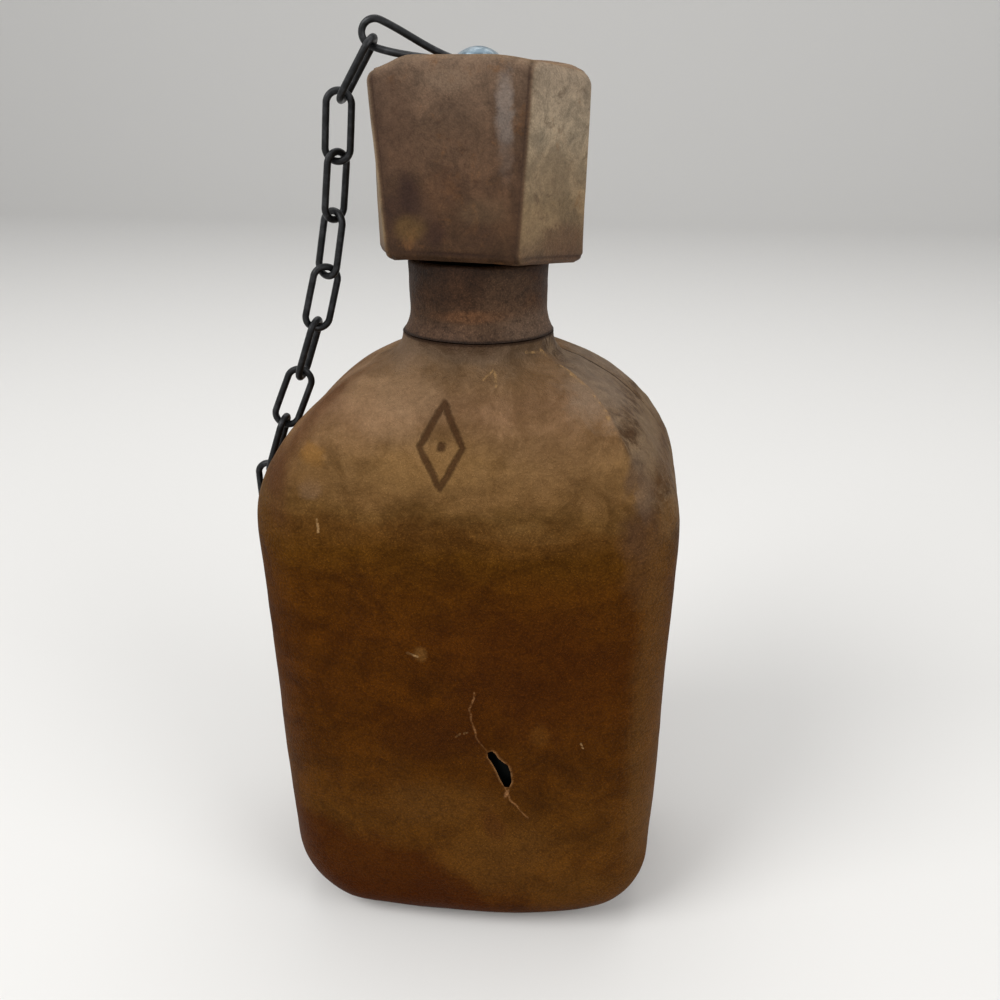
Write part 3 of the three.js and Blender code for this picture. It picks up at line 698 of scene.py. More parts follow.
class Finishes:
    """The materials of the decanter, each made once."""

    def __init__(self):
        self.grain = grain_group()
        self.patch = patch_group()
        self.line = line_group()
        self.made = {}

    def get(self, name):
        if name not in self.made:
            self.made[name] = getattr(self, name)()
        return self.made[name]

    def patches(self, nodes, place, colour, table):
        """Lays soft patches over a colour: centre, size, turn, tint and strength of each."""
        ragged = nodes.minus(nodes.noise(place, 150.0, 7.0, 0.7, 0.5), 0.5)
        for x, y, z, width, height, turn, tint, strength, broken in table:
            mask = nodes.group(self.patch, Vector=place, Centre=(x * MM, y * MM, z * MM),
                               Turn=math.radians(turn), Width=width * MM, Height=height * MM,
                               Break_up=nodes.times(ragged, broken * 2.4))
            colour = nodes.mix(nodes.times(mask.outputs[0], strength), colour, linear(*tint))
        return colour

    def shaken(self, nodes, place):
        """Places moved a little by noise, so that thin marks waver."""
        shake = nodes.add("ShaderNodeTexNoise", {"Vector": place, "Scale": 330.0, "Detail": 3.0})
        centred = nodes.vector("SUBTRACT", shake.outputs["Color"], (0.5, 0.5, 0.5))
        return nodes.vector("ADD", place, nodes.scaled(centred, 0.0012))

    def lines(self, nodes, place, table, axes=(1, 0, 1)):
        """The mask of all thin marks of a table: from, to and width in millimetres."""
        marks = None
        for start, end, width in table:
            mask = nodes.group(self.line, Vector=place, From=[c * MM for c in start], To=[c * MM for c in end],
                               Width=width * MM, Axes=axes).outputs[0]
            marks = mask if marks is None else nodes.math("MAXIMUM", marks, mask)
        return marks

    def speckled(self, nodes, place, colour, grain, pores, specks, mottle):
        """Darkens a leather's pores, lightens its pebbles and mottles it finely."""
        fine = nodes.noise(place, 650.0, 5.0, 0.7)
        change = nodes.minus(nodes.times(grain.outputs["Specks"], specks),
                            nodes.times(grain.outputs["Pores"], pores))
        change = nodes.plus(change, nodes.ramp(fine, 0.3, 0.7, -mottle, mottle))
        return nodes.scaled(colour, nodes.plus(change, 1.0))

    def body_leather(self):
        material, nodes, shader = start_material("body leather")
        place = nodes.place()
        parts = nodes.parts(place)
        cloud = nodes.noise(place, 26.0, 5.0, 0.6, 0.5)
        streaks = nodes.noise(nodes.vector("MULTIPLY", place, (1, 1, 2.6)), 60.0, 5.0, 0.65, 0.4)
        height = nodes.plus(parts["Z"], nodes.swing(cloud, 0.016))
        height = nodes.plus(height, nodes.swing(streaks, 0.012))
        # Base tone by height, with the painted sheen on the shoulders and the painted shade under the collar that
        # BODY_TONES holds.
        colour = nodes.tones(height, BODY_TONES)
        colour = nodes.scaled(colour, nodes.ramp(streaks, 0.3, 0.7, 0.86, 1.14))
        blotch = nodes.noise(place, 85.0, 6.0, 0.72, 0.7)
        change = nodes.mix(nodes.ramp(blotch, 0.36, 0.64), (0.78, 0.75, 0.7, 1), (1.2, 1.22, 1.26, 1))
        colour = nodes.mix(1.0, colour, change, "MULTIPLY")
        # Right flank: dark leather streaked with pale grey by the wrinkle noise. The pale streaks are a painted sheen
        # along the side edge.
        dark, pale = linear(58, 42, 31), linear(122, 102, 80)
        wrinkles = nodes.noise(nodes.vector("MULTIPLY", place, (0.8, 1.1, 0.8)), 240.0, 8.0, 0.76, 0.6)
        flank = nodes.stored("flank")
        colour = nodes.mix(nodes.times(flank, 0.8), colour,
                           nodes.mix(nodes.ramp(wrinkles, 0.38, 0.62), dark, pale))
        # Painted shade: a dark reddish-brown band along the left crease at the shoulder's edge.
        edge = nodes.stored("left crease shade")
        colour = nodes.mix(nodes.times(edge, 0.8), colour, linear(80, 50, 30))
        colour = self.patches(nodes, place, colour, BODY_PATCHES)
        edge = nodes.minus(nodes.curve(parts["X"], STAIN_EDGE), parts["Z"])
        edge = nodes.plus(edge, nodes.swing(nodes.noise(place, 110.0, 6.0, 0.65, 0.4), 0.011))
        stain = nodes.times(nodes.ramp(edge, -0.0034, 0.0038), nodes.ramp(parts["Y"], 0.0, -0.02))
        colour = nodes.mix(nodes.times(stain, 0.68), colour, linear(62, 25, 0))
        front = nodes.ramp(parts["Y"], -0.006, -0.01)
        worn = nodes.noise(place, 520.0, 3.0)
        moved = self.shaken(nodes, place)
        ridge = self.lines(nodes, moved, RIDGE, (1, 0.35, 1))
        marks = nodes.math("MAXIMUM", self.lines(nodes, moved, SCRATCHES), ridge)
        marks = nodes.times(nodes.times(marks, front), nodes.ramp(worn, 0.4, 0.6, 0.1, 0.75))
        colour = nodes.mix(marks, colour, linear(160, 126, 84))
        cracks = nodes.times(self.lines(nodes, moved, CRACKS), front)
        cracks = nodes.times(cracks, nodes.ramp(worn, 0.4, 0.62, 0.12, 0.6))
        colour = nodes.mix(cracks, colour, linear(140, 98, 60))
        burnt = nodes.times(self.lines(nodes, moved, BURNT_MARK), front)
        colour = nodes.mix(nodes.times(burnt, 0.8), colour, linear(58, 36, 20))
        torn = nodes.stored("torn")
        colour = nodes.mix(nodes.times(torn, nodes.ramp(worn, 0.35, 0.6, 0.15, 0.8)), colour,
                           linear(140, 100, 62))
        # Painted shade: the tear's inner wall is painted near black, standing in for the dark cavity behind the
        # leather.
        hole_shade = nodes.stored("hole_shade")
        colour = nodes.mix(nodes.ramp(hole_shade, 0.04, 0.4), colour, linear(12, 8, 5))
        seam = nodes.math("ABSOLUTE", nodes.minus(parts["Y"], SEAM_Y))
        colour = nodes.mix(nodes.ramp(seam, 0.0003, 0.0011, 0.85, 0.0), colour, linear(44, 28, 16))
        # Painted shade where the sleeve meets the collar: a dark band along the collar's top.
        top = nodes.ramp(parts["Z"], COLLAR_TOP - 0.9 * MM, COLLAR_TOP - 0.2 * MM, 0.0, 0.8)
        colour = nodes.mix(top, colour, linear(40, 26, 18))
        grain = nodes.group(self.grain, Vector=place, Pebble=1700.0, Wrinkle=0.5)
        low = nodes.ramp(parts["Z"], 0.124, 0.145, 1.0, 0.4)
        colour = self.speckled(nodes, place, colour, grain, nodes.times(low, 0.26),
                               nodes.times(low, 0.7), 0.1)
        nodes.set(shader.inputs["Base Color"], colour)
        shader.inputs["Specular IOR Level"].default_value = 0.03
        gloss = nodes.ramp(cloud, 0.3, 0.7, 0.5, 0.68)
        nodes.set(shader.inputs["Roughness"], nodes.plus(gloss, nodes.times(burnt, 0.2)))
        relief = nodes.minus(grain.outputs["Height"], nodes.times(burnt, 2.2))
        relief = nodes.plus(relief, nodes.times(marks, -0.6))
        relief = nodes.plus(relief, nodes.times(nodes.times(wrinkles, flank), 1.3))
        nodes.bump(shader, relief, 0.8, 0.0004)
        return material

    def neck_leather(self):
        material, nodes, shader = start_material("neck leather")
        place = nodes.place()
        parts = nodes.parts(place)
        mottle = nodes.noise(place, 120.0, 5.0, 0.65, 0.4)
        # Tone by height: the sleeve darkens upwards as painted shadow under the stopper.
        colour = nodes.scaled(nodes.tones(parts["Z"], NECK_TONES), nodes.ramp(mottle, 0.3, 0.7, 0.75, 1.25))
        colour = self.patches(nodes, place, colour, NECK_PATCHES)
        # Painted shade where the sleeve meets the collar: a dark band along the sleeve's foot.
        foot = nodes.ramp(parts["Z"], COLLAR_TOP + 0.5 * MM, COLLAR_TOP + 1.1 * MM, 0.85, 0.0)
        colour = nodes.mix(foot, colour, linear(30, 20, 14))
        bands = nodes.noise(nodes.vector("MULTIPLY", place, (1, 1, 6)), 130.0, 3.0)
        grain = nodes.group(self.grain, Vector=place, Pebble=2200.0, Wrinkle=0.3)
        colour = self.speckled(nodes, place, colour, grain, 0.25, 0.9, 0.3)
        nodes.set(shader.inputs["Base Color"], colour)
        shader.inputs["Specular IOR Level"].default_value = 0.1
        nodes.set(shader.inputs["Roughness"], nodes.ramp(mottle, 0.3, 0.7, 0.55, 0.72))
        relief = nodes.plus(grain.outputs["Height"], nodes.times(bands, 0.8))
        nodes.bump(shader, relief, 0.5, 0.00025)
        return material

    def block_leather(self):
        material, nodes, shader = start_material("stopper leather")
        place = nodes.place()
        parts = nodes.parts(place)
        mottle = nodes.noise(place, 130.0, 8.0, 0.72, 0.9)
        facing = nodes.stored("side facet")
        colour = nodes.mix(facing, nodes.tones(parts["Z"], FRONT_TONES), nodes.tones(parts["Z"], FACET_TONES))
        colour = nodes.scaled(colour, nodes.ramp(mottle, 0.34, 0.66, 0.72, 1.28))
        spots = nodes.ramp(nodes.noise(place, 230.0, 6.0, 0.7, 0.5), 0.54, 0.68)
        colour = nodes.mix(nodes.times(spots, 0.5), colour, linear(62, 42, 30))
        warm = nodes.ramp(nodes.noise(place, 170.0, 6.0, 0.7, 0.3), 0.55, 0.7)
        colour = nodes.mix(nodes.times(warm, 0.4), colour, linear(118, 80, 46))
        colour = self.patches(nodes, place, colour, STOPPER_PATCHES)
        seam = nodes.stored("seam")
        colour = nodes.mix(nodes.times(seam, 0.85, clamp=True), colour, linear(44, 28, 22))
        wear = nodes.stored("wear")
        colour = nodes.mix(nodes.times(wear, 0.4, clamp=True), colour, linear(140, 116, 88))
        grain = nodes.group(self.grain, Vector=place, Pebble=2200.0, Wrinkle=0.4)
        colour = self.speckled(nodes, place, colour, grain, 0.16, 0.25, 0.12)
        nodes.set(shader.inputs["Base Color"], colour)
        shader.inputs["Specular IOR Level"].default_value = 0.1
        nodes.set(shader.inputs["Roughness"], nodes.ramp(mottle, 0.3, 0.7, 0.5, 0.66))
        nodes.bump(shader, grain.outputs["Height"], 0.45, 0.00025)
        return material

    def plate_leather(self):
        material, nodes, shader = start_material("plate leather")
        place = nodes.place()
        mottle = nodes.noise(place, 85.0, 6.0, 0.66, 0.6)
        colour = nodes.mix(nodes.ramp(mottle, 0.3, 0.7), linear(104, 78, 54), linear(146, 120, 90))
        ring = nodes.vector("MULTIPLY", place, (1, 1, 0))
        centre = nodes.ramp(nodes.vector("LENGTH", ring), 0.004, 0.014, 0.6, 0.0)
        colour = nodes.mix(centre, colour, linear(58, 42, 32))
        grain = nodes.group(self.grain, Vector=place, Pebble=2200.0, Wrinkle=0.4)
        colour = nodes.mix(nodes.times(grain.outputs["Pores"], 0.3), colour, linear(50, 34, 24))
        nodes.set(shader.inputs["Base Color"], colour)
        shader.inputs["Specular IOR Level"].default_value = 0.12
        nodes.set(shader.inputs["Roughness"], nodes.ramp(mottle, 0.3, 0.7, 0.55, 0.72))
        nodes.bump(shader, grain.outputs["Height"], 0.5, 0.00025)
        return material

    def base_leather(self):
        material, nodes, shader = start_material("base leather")
        place = nodes.place()
        mottle = nodes.noise(place, 90.0, 6.0, 0.66, 0.6)
        colour = nodes.mix(nodes.ramp(mottle, 0.3, 0.7), linear(52, 34, 22), linear(80, 54, 34))
        grain = nodes.group(self.grain, Vector=place, Pebble=2200.0, Wrinkle=0.4)
        colour = nodes.mix(nodes.times(grain.outputs["Pores"], 0.3), colour, linear(26, 16, 10))
        nodes.set(shader.inputs["Base Color"], colour)
        shader.inputs["Roughness"].default_value = 0.8
        nodes.bump(shader, grain.outputs["Height"], 0.5, 0.00025)
        return material

    def black_iron(self):
        material, nodes, shader = start_material("blackened iron")
        place = nodes.place()
        worn = nodes.noise(place, 420.0, 4.0, 0.6)
        colour = nodes.mix(nodes.ramp(worn, 0.42, 0.75), linear(13, 14, 16), linear(46, 47, 49))
        nodes.set(shader.inputs["Base Color"], colour)
        shader.inputs["Metallic"].default_value = 0.55
        nodes.set(shader.inputs["Roughness"], nodes.ramp(worn, 0.3, 0.7, 0.52, 0.36))
        nodes.bump(shader, nodes.noise(place, 900.0, 3.0), 0.35, 0.0002)
        return material

    def pewter(self):
        material, nodes, shader = start_material("dull pewter")
        place = nodes.place()
        stain = nodes.noise(place, 300.0, 5.0, 0.6)
        colour = nodes.mix(nodes.ramp(stain, 0.38, 0.66), linear(96, 112, 122), linear(164, 178, 186))
        nodes.set(shader.inputs["Base Color"], colour)
        shader.inputs["Metallic"].default_value = 0.85
        nodes.set(shader.inputs["Roughness"], nodes.ramp(stain, 0.3, 0.7, 0.5, 0.32))
        nodes.bump(shader, nodes.noise(place, 1400.0, 3.0), 0.25, 0.0001)
        return material

    def cork(self):
        material, nodes, shader = start_material("cork")
        place = nodes.place()
        cells = nodes.add("ShaderNodeTexVoronoi", {"Vector": place, "Scale": 900.0}).outputs["Distance"]
        tone = nodes.noise(place, 240.0, 4.0, 0.6)
        colour = nodes.mix(nodes.ramp(tone, 0.35, 0.7), linear(166, 122, 76), linear(200, 160, 112))
        pits = nodes.times(nodes.ramp(nodes.noise(place, 520.0, 2.0), 0.62, 0.7), 0.8)
        colour = nodes.mix(pits, colour, linear(96, 60, 34))
        nodes.set(shader.inputs["Base Color"], colour)
        shader.inputs["Roughness"].default_value = 0.88
        relief = nodes.minus(nodes.times(cells, 0.4), pits)
        nodes.bump(shader, relief, 0.6, 0.0003)
        return material

    def pine(self):
        material, nodes, shader = start_material("plain wood")
        place = nodes.place()
        stretched = nodes.vector("MULTIPLY", place, (1, 1, 0.08))
        lines = nodes.noise(stretched, 420.0, 4.0, 0.6)
        colour = nodes.mix(nodes.ramp(lines, 0.35, 0.7), linear(150, 112, 70), linear(190, 152, 104))
        nodes.set(shader.inputs["Base Color"], colour)
        shader.inputs["Roughness"].default_value = 0.7
        nodes.bump(shader, lines, 0.3, 0.0002)
        return material

    def bottle_glass(self):
        material, nodes, shader = start_material("bottle glass")
        place = nodes.place()
        shader.inputs["Base Color"].default_value = linear(9, 11, 10)
        shader.inputs["IOR"].default_value = 1.5
        shader.inputs["Specular IOR Level"].default_value = 0.02
        nodes.set(shader.inputs["Roughness"], nodes.ramp(nodes.noise(place, 90.0, 3.0), 0.3, 0.7, 0.2, 0.35))
        nodes.bump(shader, nodes.noise(place, 60.0, 2.0), 0.15, 0.0003)
        return material


# Colours of the leathers by height in millimetres
# Body: dark below, tan on the shoulders. The shoulder stops are partly the leather's tone and partly painted light, a
# greyish sheen from above. The stops at 171 and 176 darken under the collar, partly as painted shade and partly as
# dirt.
BODY_TONES = (
    (0, (62, 28, 2)), (12, (68, 33, 2)), (20, (76, 42, 6)), (28, (80, 46, 8)), (40, (80, 47, 9)),
    (60, (71, 38, 3)), (80, (70, 36, 2)), (100, (70, 36, 2)), (115, (72, 39, 3)), (124, (76, 45, 6)),
    (131, (83, 53, 19)), (136, (94, 66, 32)), (140, (104, 75, 42)), (147, (113, 84, 51)), (153, (117, 88, 58)),
    (160, (120, 91, 65)), (166, (114, 88, 62)), (171, (94, 75, 57)), (176, (78, 60, 46)),
)
# Upper edge of the dark stain at the foot, across and up in millimetres
STAIN_EDGE = ((-60, 44), (-44, 38.5), (-33, 34.5), (-17.5, 31), (-7.5, 27.5), (1.5, 21), (5, 15.5),
              (8, 9), (12, 2), (60, 0))
# Neck: the sleeve darkens upwards, painted shadow under the overhanging stopper.
NECK_TONES = ((173, (74, 55, 42)), (178, (76, 56, 41)), (184, (60, 40, 26)), (190, (50, 33, 22)),
              (194, (40, 26, 18)))
FRONT_TONES = ((194, (62, 43, 29)), (203, (72, 51, 35)), (212, (81, 59, 43)), (225, (88, 67, 51)),
               (240, (104, 84, 68)))
FACET_TONES = ((194, (88, 66, 50)), (200, (112, 92, 68)), (208, (122, 102, 76)), (225, (144, 128, 106)),
               (240, (134, 118, 100)))
# Soft patches: across, back and up, width, height, turn, tint, strength, break-up
BODY_PATCHES = (
    # Painted highlight: a pale band where the left shoulder turns up to the light.
    (-22, -31, 158.5, 12, 4.5, -26, (148, 118, 88), 0.4, 0.8),
    # Painted shade along the body's left silhouette edge.
    (-50, -28, 141, 3.5, 12, 14, (78, 48, 28), 0.5, 0.5),
    # Painted highlight: the upper end of the left shoulder's pale band.
    (-14, -31, 162, 9, 5, -10, (142, 114, 86), 0.45, 0.5),
    (-38.5, -32, 147.5, 3.4, 2.4, 0, (150, 104, 44), 0.4, 0.9),
    # Painted highlight: a small greyish sheen on the left shoulder edge.
    (-38.5, -36, 139.5, 3, 2.4, 0, (124, 98, 76), 0.4, 0.8),
    (-9, -38, 146, 16, 6, 6, (138, 104, 62), 0.4, 0.5),
    (24, -34, 152, 12, 9, 0, (110, 82, 54), 0.3, 0.55),
    # Painted highlight: a greyish sheen on the right shoulder.
    (46, -34, 139, 2.4, 4.5, 10, (116, 98, 84), 0.4, 0.9),
    (43.5, -33, 145.5, 2.2, 5, -25, (70, 56, 50), 0.5, 0.7),
    (49, -27, 145, 4.5, 6, 0, (84, 62, 44), 0.45, 0.7),
    (46, -35, 130.5, 5.5, 7, 0, (74, 52, 38), 0.6, 0.6),
    (52.5, -30, 133, 2.6, 5, 0, (116, 84, 48), 0.45, 0.6),
    # Painted sheen: pale grey on top of the right shoulder.
    (33, -10, 163.5, 9, 6, -30, (138, 120, 102), 0.45, 0.9),
    # Painted sheen: pale grey on the right shoulder's side edge.
    (48, -8, 150, 4.5, 5, 0, (142, 120, 94), 0.35, 0.9),
    (-18, -11, 170.5, 5, 3.5, 0, (122, 100, 80), 0.55, 0.6),
    (-38.5, -36, 143, 5, 4, 0, (96, 67, 35), 0.4, 0.7),
    (34, -38, 16, 15, 9, 0, (92, 58, 18), 0.5, 0.6),
    (47, -34, 121, 5, 9, 0, (92, 62, 34), 0.45, 0.55),
    # Painted highlight: a lighter strip down the body's right edge.
    (50.5, -31, 72, 5, 60, 0, (98, 65, 27), 0.55, 0.45),
    (20, -40, 92, 22, 20, 0, (62, 28, 3), 0.45, 0.5),
    (-8, -42, 70, 12, 8, 3, (54, 24, 3), 0.55, 0.5),
    (-10.3, -41, 95.4, 1.6, 2.2, 0, (122, 84, 40), 0.5, 0.9),
    (21.5, -40, 72, 2.4, 3.4, 0, (98, 60, 18), 0.4, 0.9),
    (-6, -40, 47, 16, 7, 4, (92, 58, 20), 0.5, 0.5),
    (11, -40, 30, 16, 12, 20, (94, 60, 22), 0.5, 0.45),
    (9, -40, 41, 3, 5, 20, (64, 32, 12), 0.45, 0.6),
    (12.6, -40, 52.6, 0.5, 1.5, -18, (150, 106, 68), 0.7, 0.2),
)
NECK_PATCHES = (
    (1, -18, 180.4, 10, 1.5, 2, (104, 68, 42), 0.45, 0.45),
    (14, -12, 177, 6, 4, 0, (100, 82, 68), 0.45, 0.55),
    # Painted shade on the neck's left side.
    (-12, -14, 185, 7, 10, 0, (40, 27, 18), 0.45, 0.5),
    # Painted light on the neck's right side.
    (9, -16, 185, 6, 8, 0, (84, 64, 48), 0.4, 0.6),
    (-9, -17, 176, 8, 2, 0, (84, 62, 48), 0.4, 0.6),
)
STOPPER_PATCHES = (
    (-14.5, -22, 209.5, 2.6, 6, 4, (44, 28, 24), 0.75, 0.45),
    (-18.5, -20, 206, 3, 4.5, 0, (48, 32, 26), 0.65, 0.5),
    (-8, -24, 201.5, 2.6, 3.6, -14, (50, 32, 26), 0.6, 0.5),
    (-14.5, -22, 202.5, 4, 3, 0, (100, 76, 42), 0.5, 0.5),
    # Painted highlight: a pale vertical band near the front facet's right edge, a reflection of light.
    (9.4, -24, 230.5, 2, 8, 0, (136, 128, 122), 0.42, 0.9),
    # Painted highlight: the fainter lower part of that band.
    (9.6, -24, 221, 1.8, 6, 0, (98, 86, 78), 0.35, 0.9),
    (-6.5, -23, 211, 4.5, 5, 0, (98, 66, 42), 0.2, 0.7),
    (-4.4, -24, 213, 3, 4, 0, (68, 48, 36), 0.45, 0.8),
    (3, -24, 201.5, 4, 3, 0, (64, 45, 33), 0.45, 0.8),
    (-11.7, -23, 207, 3, 4, 0, (62, 44, 34), 0.35, 0.8),
    (-19, -20, 228, 6, 13, 0, (76, 55, 42), 0.5, 0.6),
    (-4, -23, 236.5, 6, 2.5, 0, (122, 102, 84), 0.5, 0.5),
    (4, -24, 207, 5, 3, 0, (104, 84, 62), 0.25, 0.8),
    (23, -12, 199, 5, 4, 0, (84, 60, 44), 0.6, 0.5),
    (20, -14, 216, 5, 5, 0, (118, 98, 74), 0.4, 0.6),
)
# Light scratches: from and to in millimetres, and width
SCRATCHES = (
    ((-36.7, 0, 132), (-36.5, 0, 128.4), 0.5), ((14.2, 0, 171.2), (17.2, 0, 170.6), 0.45),
    ((4.4, 0, 166.2), (6.2, 0, 167.6), 0.4), ((6.8, 0, 167.2), (7.8, 0, 165.2), 0.45),
    ((-13.8, 0, 95.6), (-11.2, 0, 95), 0.5), ((-1.4, 0, 70.4), (-0.2, 0, 71.4), 0.4),
    ((32.6, 0, 69.7), (33.2, 0, 68.3), 0.35), ((0.9, 0, 71.6), (1.8, 0, 72), 0.35),
)
RIDGE = (
    ((17.5, -10.8, 170.9), (22.8, -11.5, 167.4), 0.5), ((22.8, -11.5, 167.4), (31.1, -19.2, 163.2), 0.55),
    ((31.1, -19.2, 163.2), (35.2, -24.7, 159.1), 0.45), ((35.2, -24.7, 158.9), (36.2, -26, 157.4), 0.9),
)
CRACKS = tuple(((a[0], 0, a[1]), (b[0], 0, b[1]), 0.36)
               for line in (CRACK_UP, CRACK_DOWN) for a, b in zip(line, line[1:]))
# A plain burnt lozenge with a dot
BURNT_MARK = (
    ((-4.8, 0, 161.3), (0.7, 0, 151.4), 1.15), ((0.7, 0, 151.4), (-4.8, 0, 141.6), 1.15),
    ((-4.8, 0, 141.6), (-10.3, 0, 151.4), 1.15), ((-10.3, 0, 151.4), (-4.8, 0, 161.3), 1.15),
    ((-4.8, 0, 151.2), (-4.8, 0, 151.7), 1.5),
)


# Stopper shape


def block_corners(z, inset):
    share = (z - BLOCK_LOW) / (BLOCK_HIGH - BLOCK_LOW)
    facet = (FACET_LOW + (FACET_HIGH - FACET_LOW) * share) / 2 * MM
    tip = (TIP_HALF - BLOCK_TAPER * (1 - share)) * MM
    depth = (BLOCK_HALF_DEPTH - BLOCK_TAPER * (1 - share)) * MM
    shape = [Vector(p) for p in ((tip, 0), (facet, depth), (-facet, depth),
                                 (-tip, 0), (-facet, -depth), (facet, -depth))]
    moved = []
    for i, corner in enumerate(shape):
        back = (corner - shape[i - 1]).normalized()
        ahead = (shape[(i + 1) % 6] - corner).normalized()
        middle = Vector((-back.y - ahead.y, back.x + ahead.x)).normalized()
        moved.append(corner + middle * (inset / middle.dot(Vector((-back.y, back.x)))))
    return moved


def block_ring(z, inset, radius=BLOCK_CORNER, corner_steps=7, facet_steps=16):
    corners = block_corners(z, inset)
    ring = []
    for i, corner in enumerate(corners):
        before = (corners[i - 1] - corner).normalized()
        after = (corners[(i + 1) % 6] - corner).normalized()
        half = math.acos(max(-1, min(1, before.dot(after)))) / 2
        inwards = (before + after).normalized()
        centre = corner + inwards * (radius / math.sin(half))
        spread = math.pi / 2 - half
        middle = math.atan2(-inwards.y, -inwards.x)
        for k in range(corner_steps + 1):
            angle = middle - spread + 2 * spread * k / corner_steps
            ring.append(centre + Vector((math.cos(angle), math.sin(angle))) * radius)
        start, along = ring[-1], corners[(i + 1) % 6] - ring[-1]
        reach = along.length - radius / math.tan(half)
        for k in range(1, facet_steps):
            ring.append(start + along.normalized() * reach * k / facet_steps)
    turn = Matrix.Rotation(BLOCK_TURN, 2)
    return [turn @ p for p in ring]


def unturned(points):
    """How far across and how far back each point lies on the block's own axes."""
    c, s = math.cos(BLOCK_TURN), math.sin(BLOCK_TURN)
    return c * points[:, 0] + s * points[:, 1], c * points[:, 1] - s * points[:, 0]


def droop(points):
    """Lowers the block's ends a little, and stands the top's rim up round its middle."""
    across, back = unturned(points)
    out = np.clip((np.abs(across) - 9 * MM) / (20 * MM), 0, 1) ** 1.7
    share = np.clip((points[:, 2] - BLOCK_LOW) / (BLOCK_HIGH - BLOCK_LOW), 0, 1)
    top = np.where(across > 0, RIGHT_DROOP, LEFT_DROOP)
    shaped = points.copy()
    shaped[:, 2] -= out * (BOTTOM_DROOP + (top - BOTTOM_DROOP) * share)
    slanted = (np.abs(across) * BLOCK_HALF_DEPTH + np.abs(back) * 8.5) / (TIP_HALF * BLOCK_HALF_DEPTH)
    rim = np.maximum(np.abs(back) / BLOCK_HALF_DEPTH, slanted) / MM
    rise = smooth_step(0.5, 0.9, rim) * smooth_step(0.55, 1, share) * smooth_step(-18.5, -10.5, across / MM)
    shaped[:, 2] += RIM_RISE * rise
    return shaped


def top_plate():
    """The stopper's top leather: a flat ring from the screw's hole to the block's outline."""
    steps = 18
    edge = [Vector((p.x, p.y)) for p in block_ring(BLOCK_HIGH, PLATE_INSET)]
    levels = [(i / steps, BLOCK_HIGH) for i in range(steps)]
    levels += [(1 - 0.012 * (1 - math.cos(a)), BLOCK_HIGH - 0.4 * MM * (1 - math.sin(a)))
               for a in (math.radians(d) for d in (90, 60, 30, 0))]
    levels += [(1, BLOCK_HIGH - PLATE_THICK)] + [(1 - i / steps, BLOCK_HIGH - PLATE_THICK) for i in range(1, steps + 1)]
    levels.append(levels[0])

    def place(i, j):
        point = edge[i % len(edge)]
        share, z = levels[j]
        hole = point.normalized() * SCREW_HOLE
        flat = hole.lerp(point, share)
        return flat.x, flat.y, z

    piece = sheet_of("top_plate", len(edge), len(levels) - 1, place)
    place_points(piece, droop(points_of(piece)))
    return piece


def side_wrap():
    """The stopper's side leather: over the top edge, down the facets and under the bottom edge."""
    levels = []
    inner = [(z, WRAP_THICK) for z in (BLOCK_LOW + 0.05 * MM, BLOCK_LOW + 1 * MM,
                                       BLOCK_HIGH - 1 * MM, BLOCK_HIGH - 0.1 * MM)]
    for i in range(13):
        angle = math.radians(90 - 90 * i / 12)
        in_by = BLOCK_EDGE * (1 - math.cos(angle))
        if in_by < WRAP_THICK:
            levels.append((BLOCK_HIGH - BLOCK_EDGE * (1 - math.sin(angle)), in_by))
    high, low = BLOCK_HIGH - BLOCK_EDGE, BLOCK_LOW + BLOCK_EDGE
    levels += [(high + (low - high) * i / 60, 0) for i in range(1, 60)]
    for i in range(13):
        angle = math.radians(90 * i / 12)
        in_by = BLOCK_EDGE * (1 - math.cos(angle))
        if in_by < WRAP_THICK:
            levels.append((BLOCK_LOW + BLOCK_EDGE * (1 - math.sin(angle)), in_by))
    levels = inner + levels + [inner[0]]
    rings = [[Vector((p.x, p.y, z)) for p in block_ring(z, inset)] for z, inset in levels]
    count = len(rings[0])
    piece = sheet_of("stopper_wrap", count, len(rings) - 1, lambda i, j: rings[j][i % count])
    points, normals = points_of(piece), normals_of(piece)
    across, _ = unturned(points)
    share = (points[:, 2] - BLOCK_LOW) / (BLOCK_HIGH - BLOCK_LOW)
    facet = (FACET_LOW + (FACET_HIGH - FACET_LOW) * share) / 2 * MM
    past = (np.abs(across) - facet) * 1000
    outer = np.abs(normals[:, 2]) < 0.9
    seam = hill(past, -0.9, 0.5) * outer
    height = (points[:, 2] - BLOCK_LOW) * 1000
    hem = hill(height, 2.1, 0.4) * outer * np.clip(0.75 + rough(points, 90, 2, 5.0), 0, 1)
    lift = -0.35 * seam - 0.22 * hem + 0.12 * rough(points, 60, 3, 2.0)
    lift += 0.25 * hill(past, 0.8, 1.2) * outer
    edge = (BLOCK_HIGH - points[:, 2]) * 1000
    place_points(piece, droop(points + normals * (lift * MM)[:, None]))
    store(piece, "seam", np.maximum(seam * (0.55 + 0.45 * share), 0.85 * hem))
    store(piece, "side facet", smooth_step(-0.4, 0.2, past))
    store(piece, "wear", 0.8 * hill(edge, 0, 1.1) + 0.25 * hill(past, 0, 0.9))
    return piece


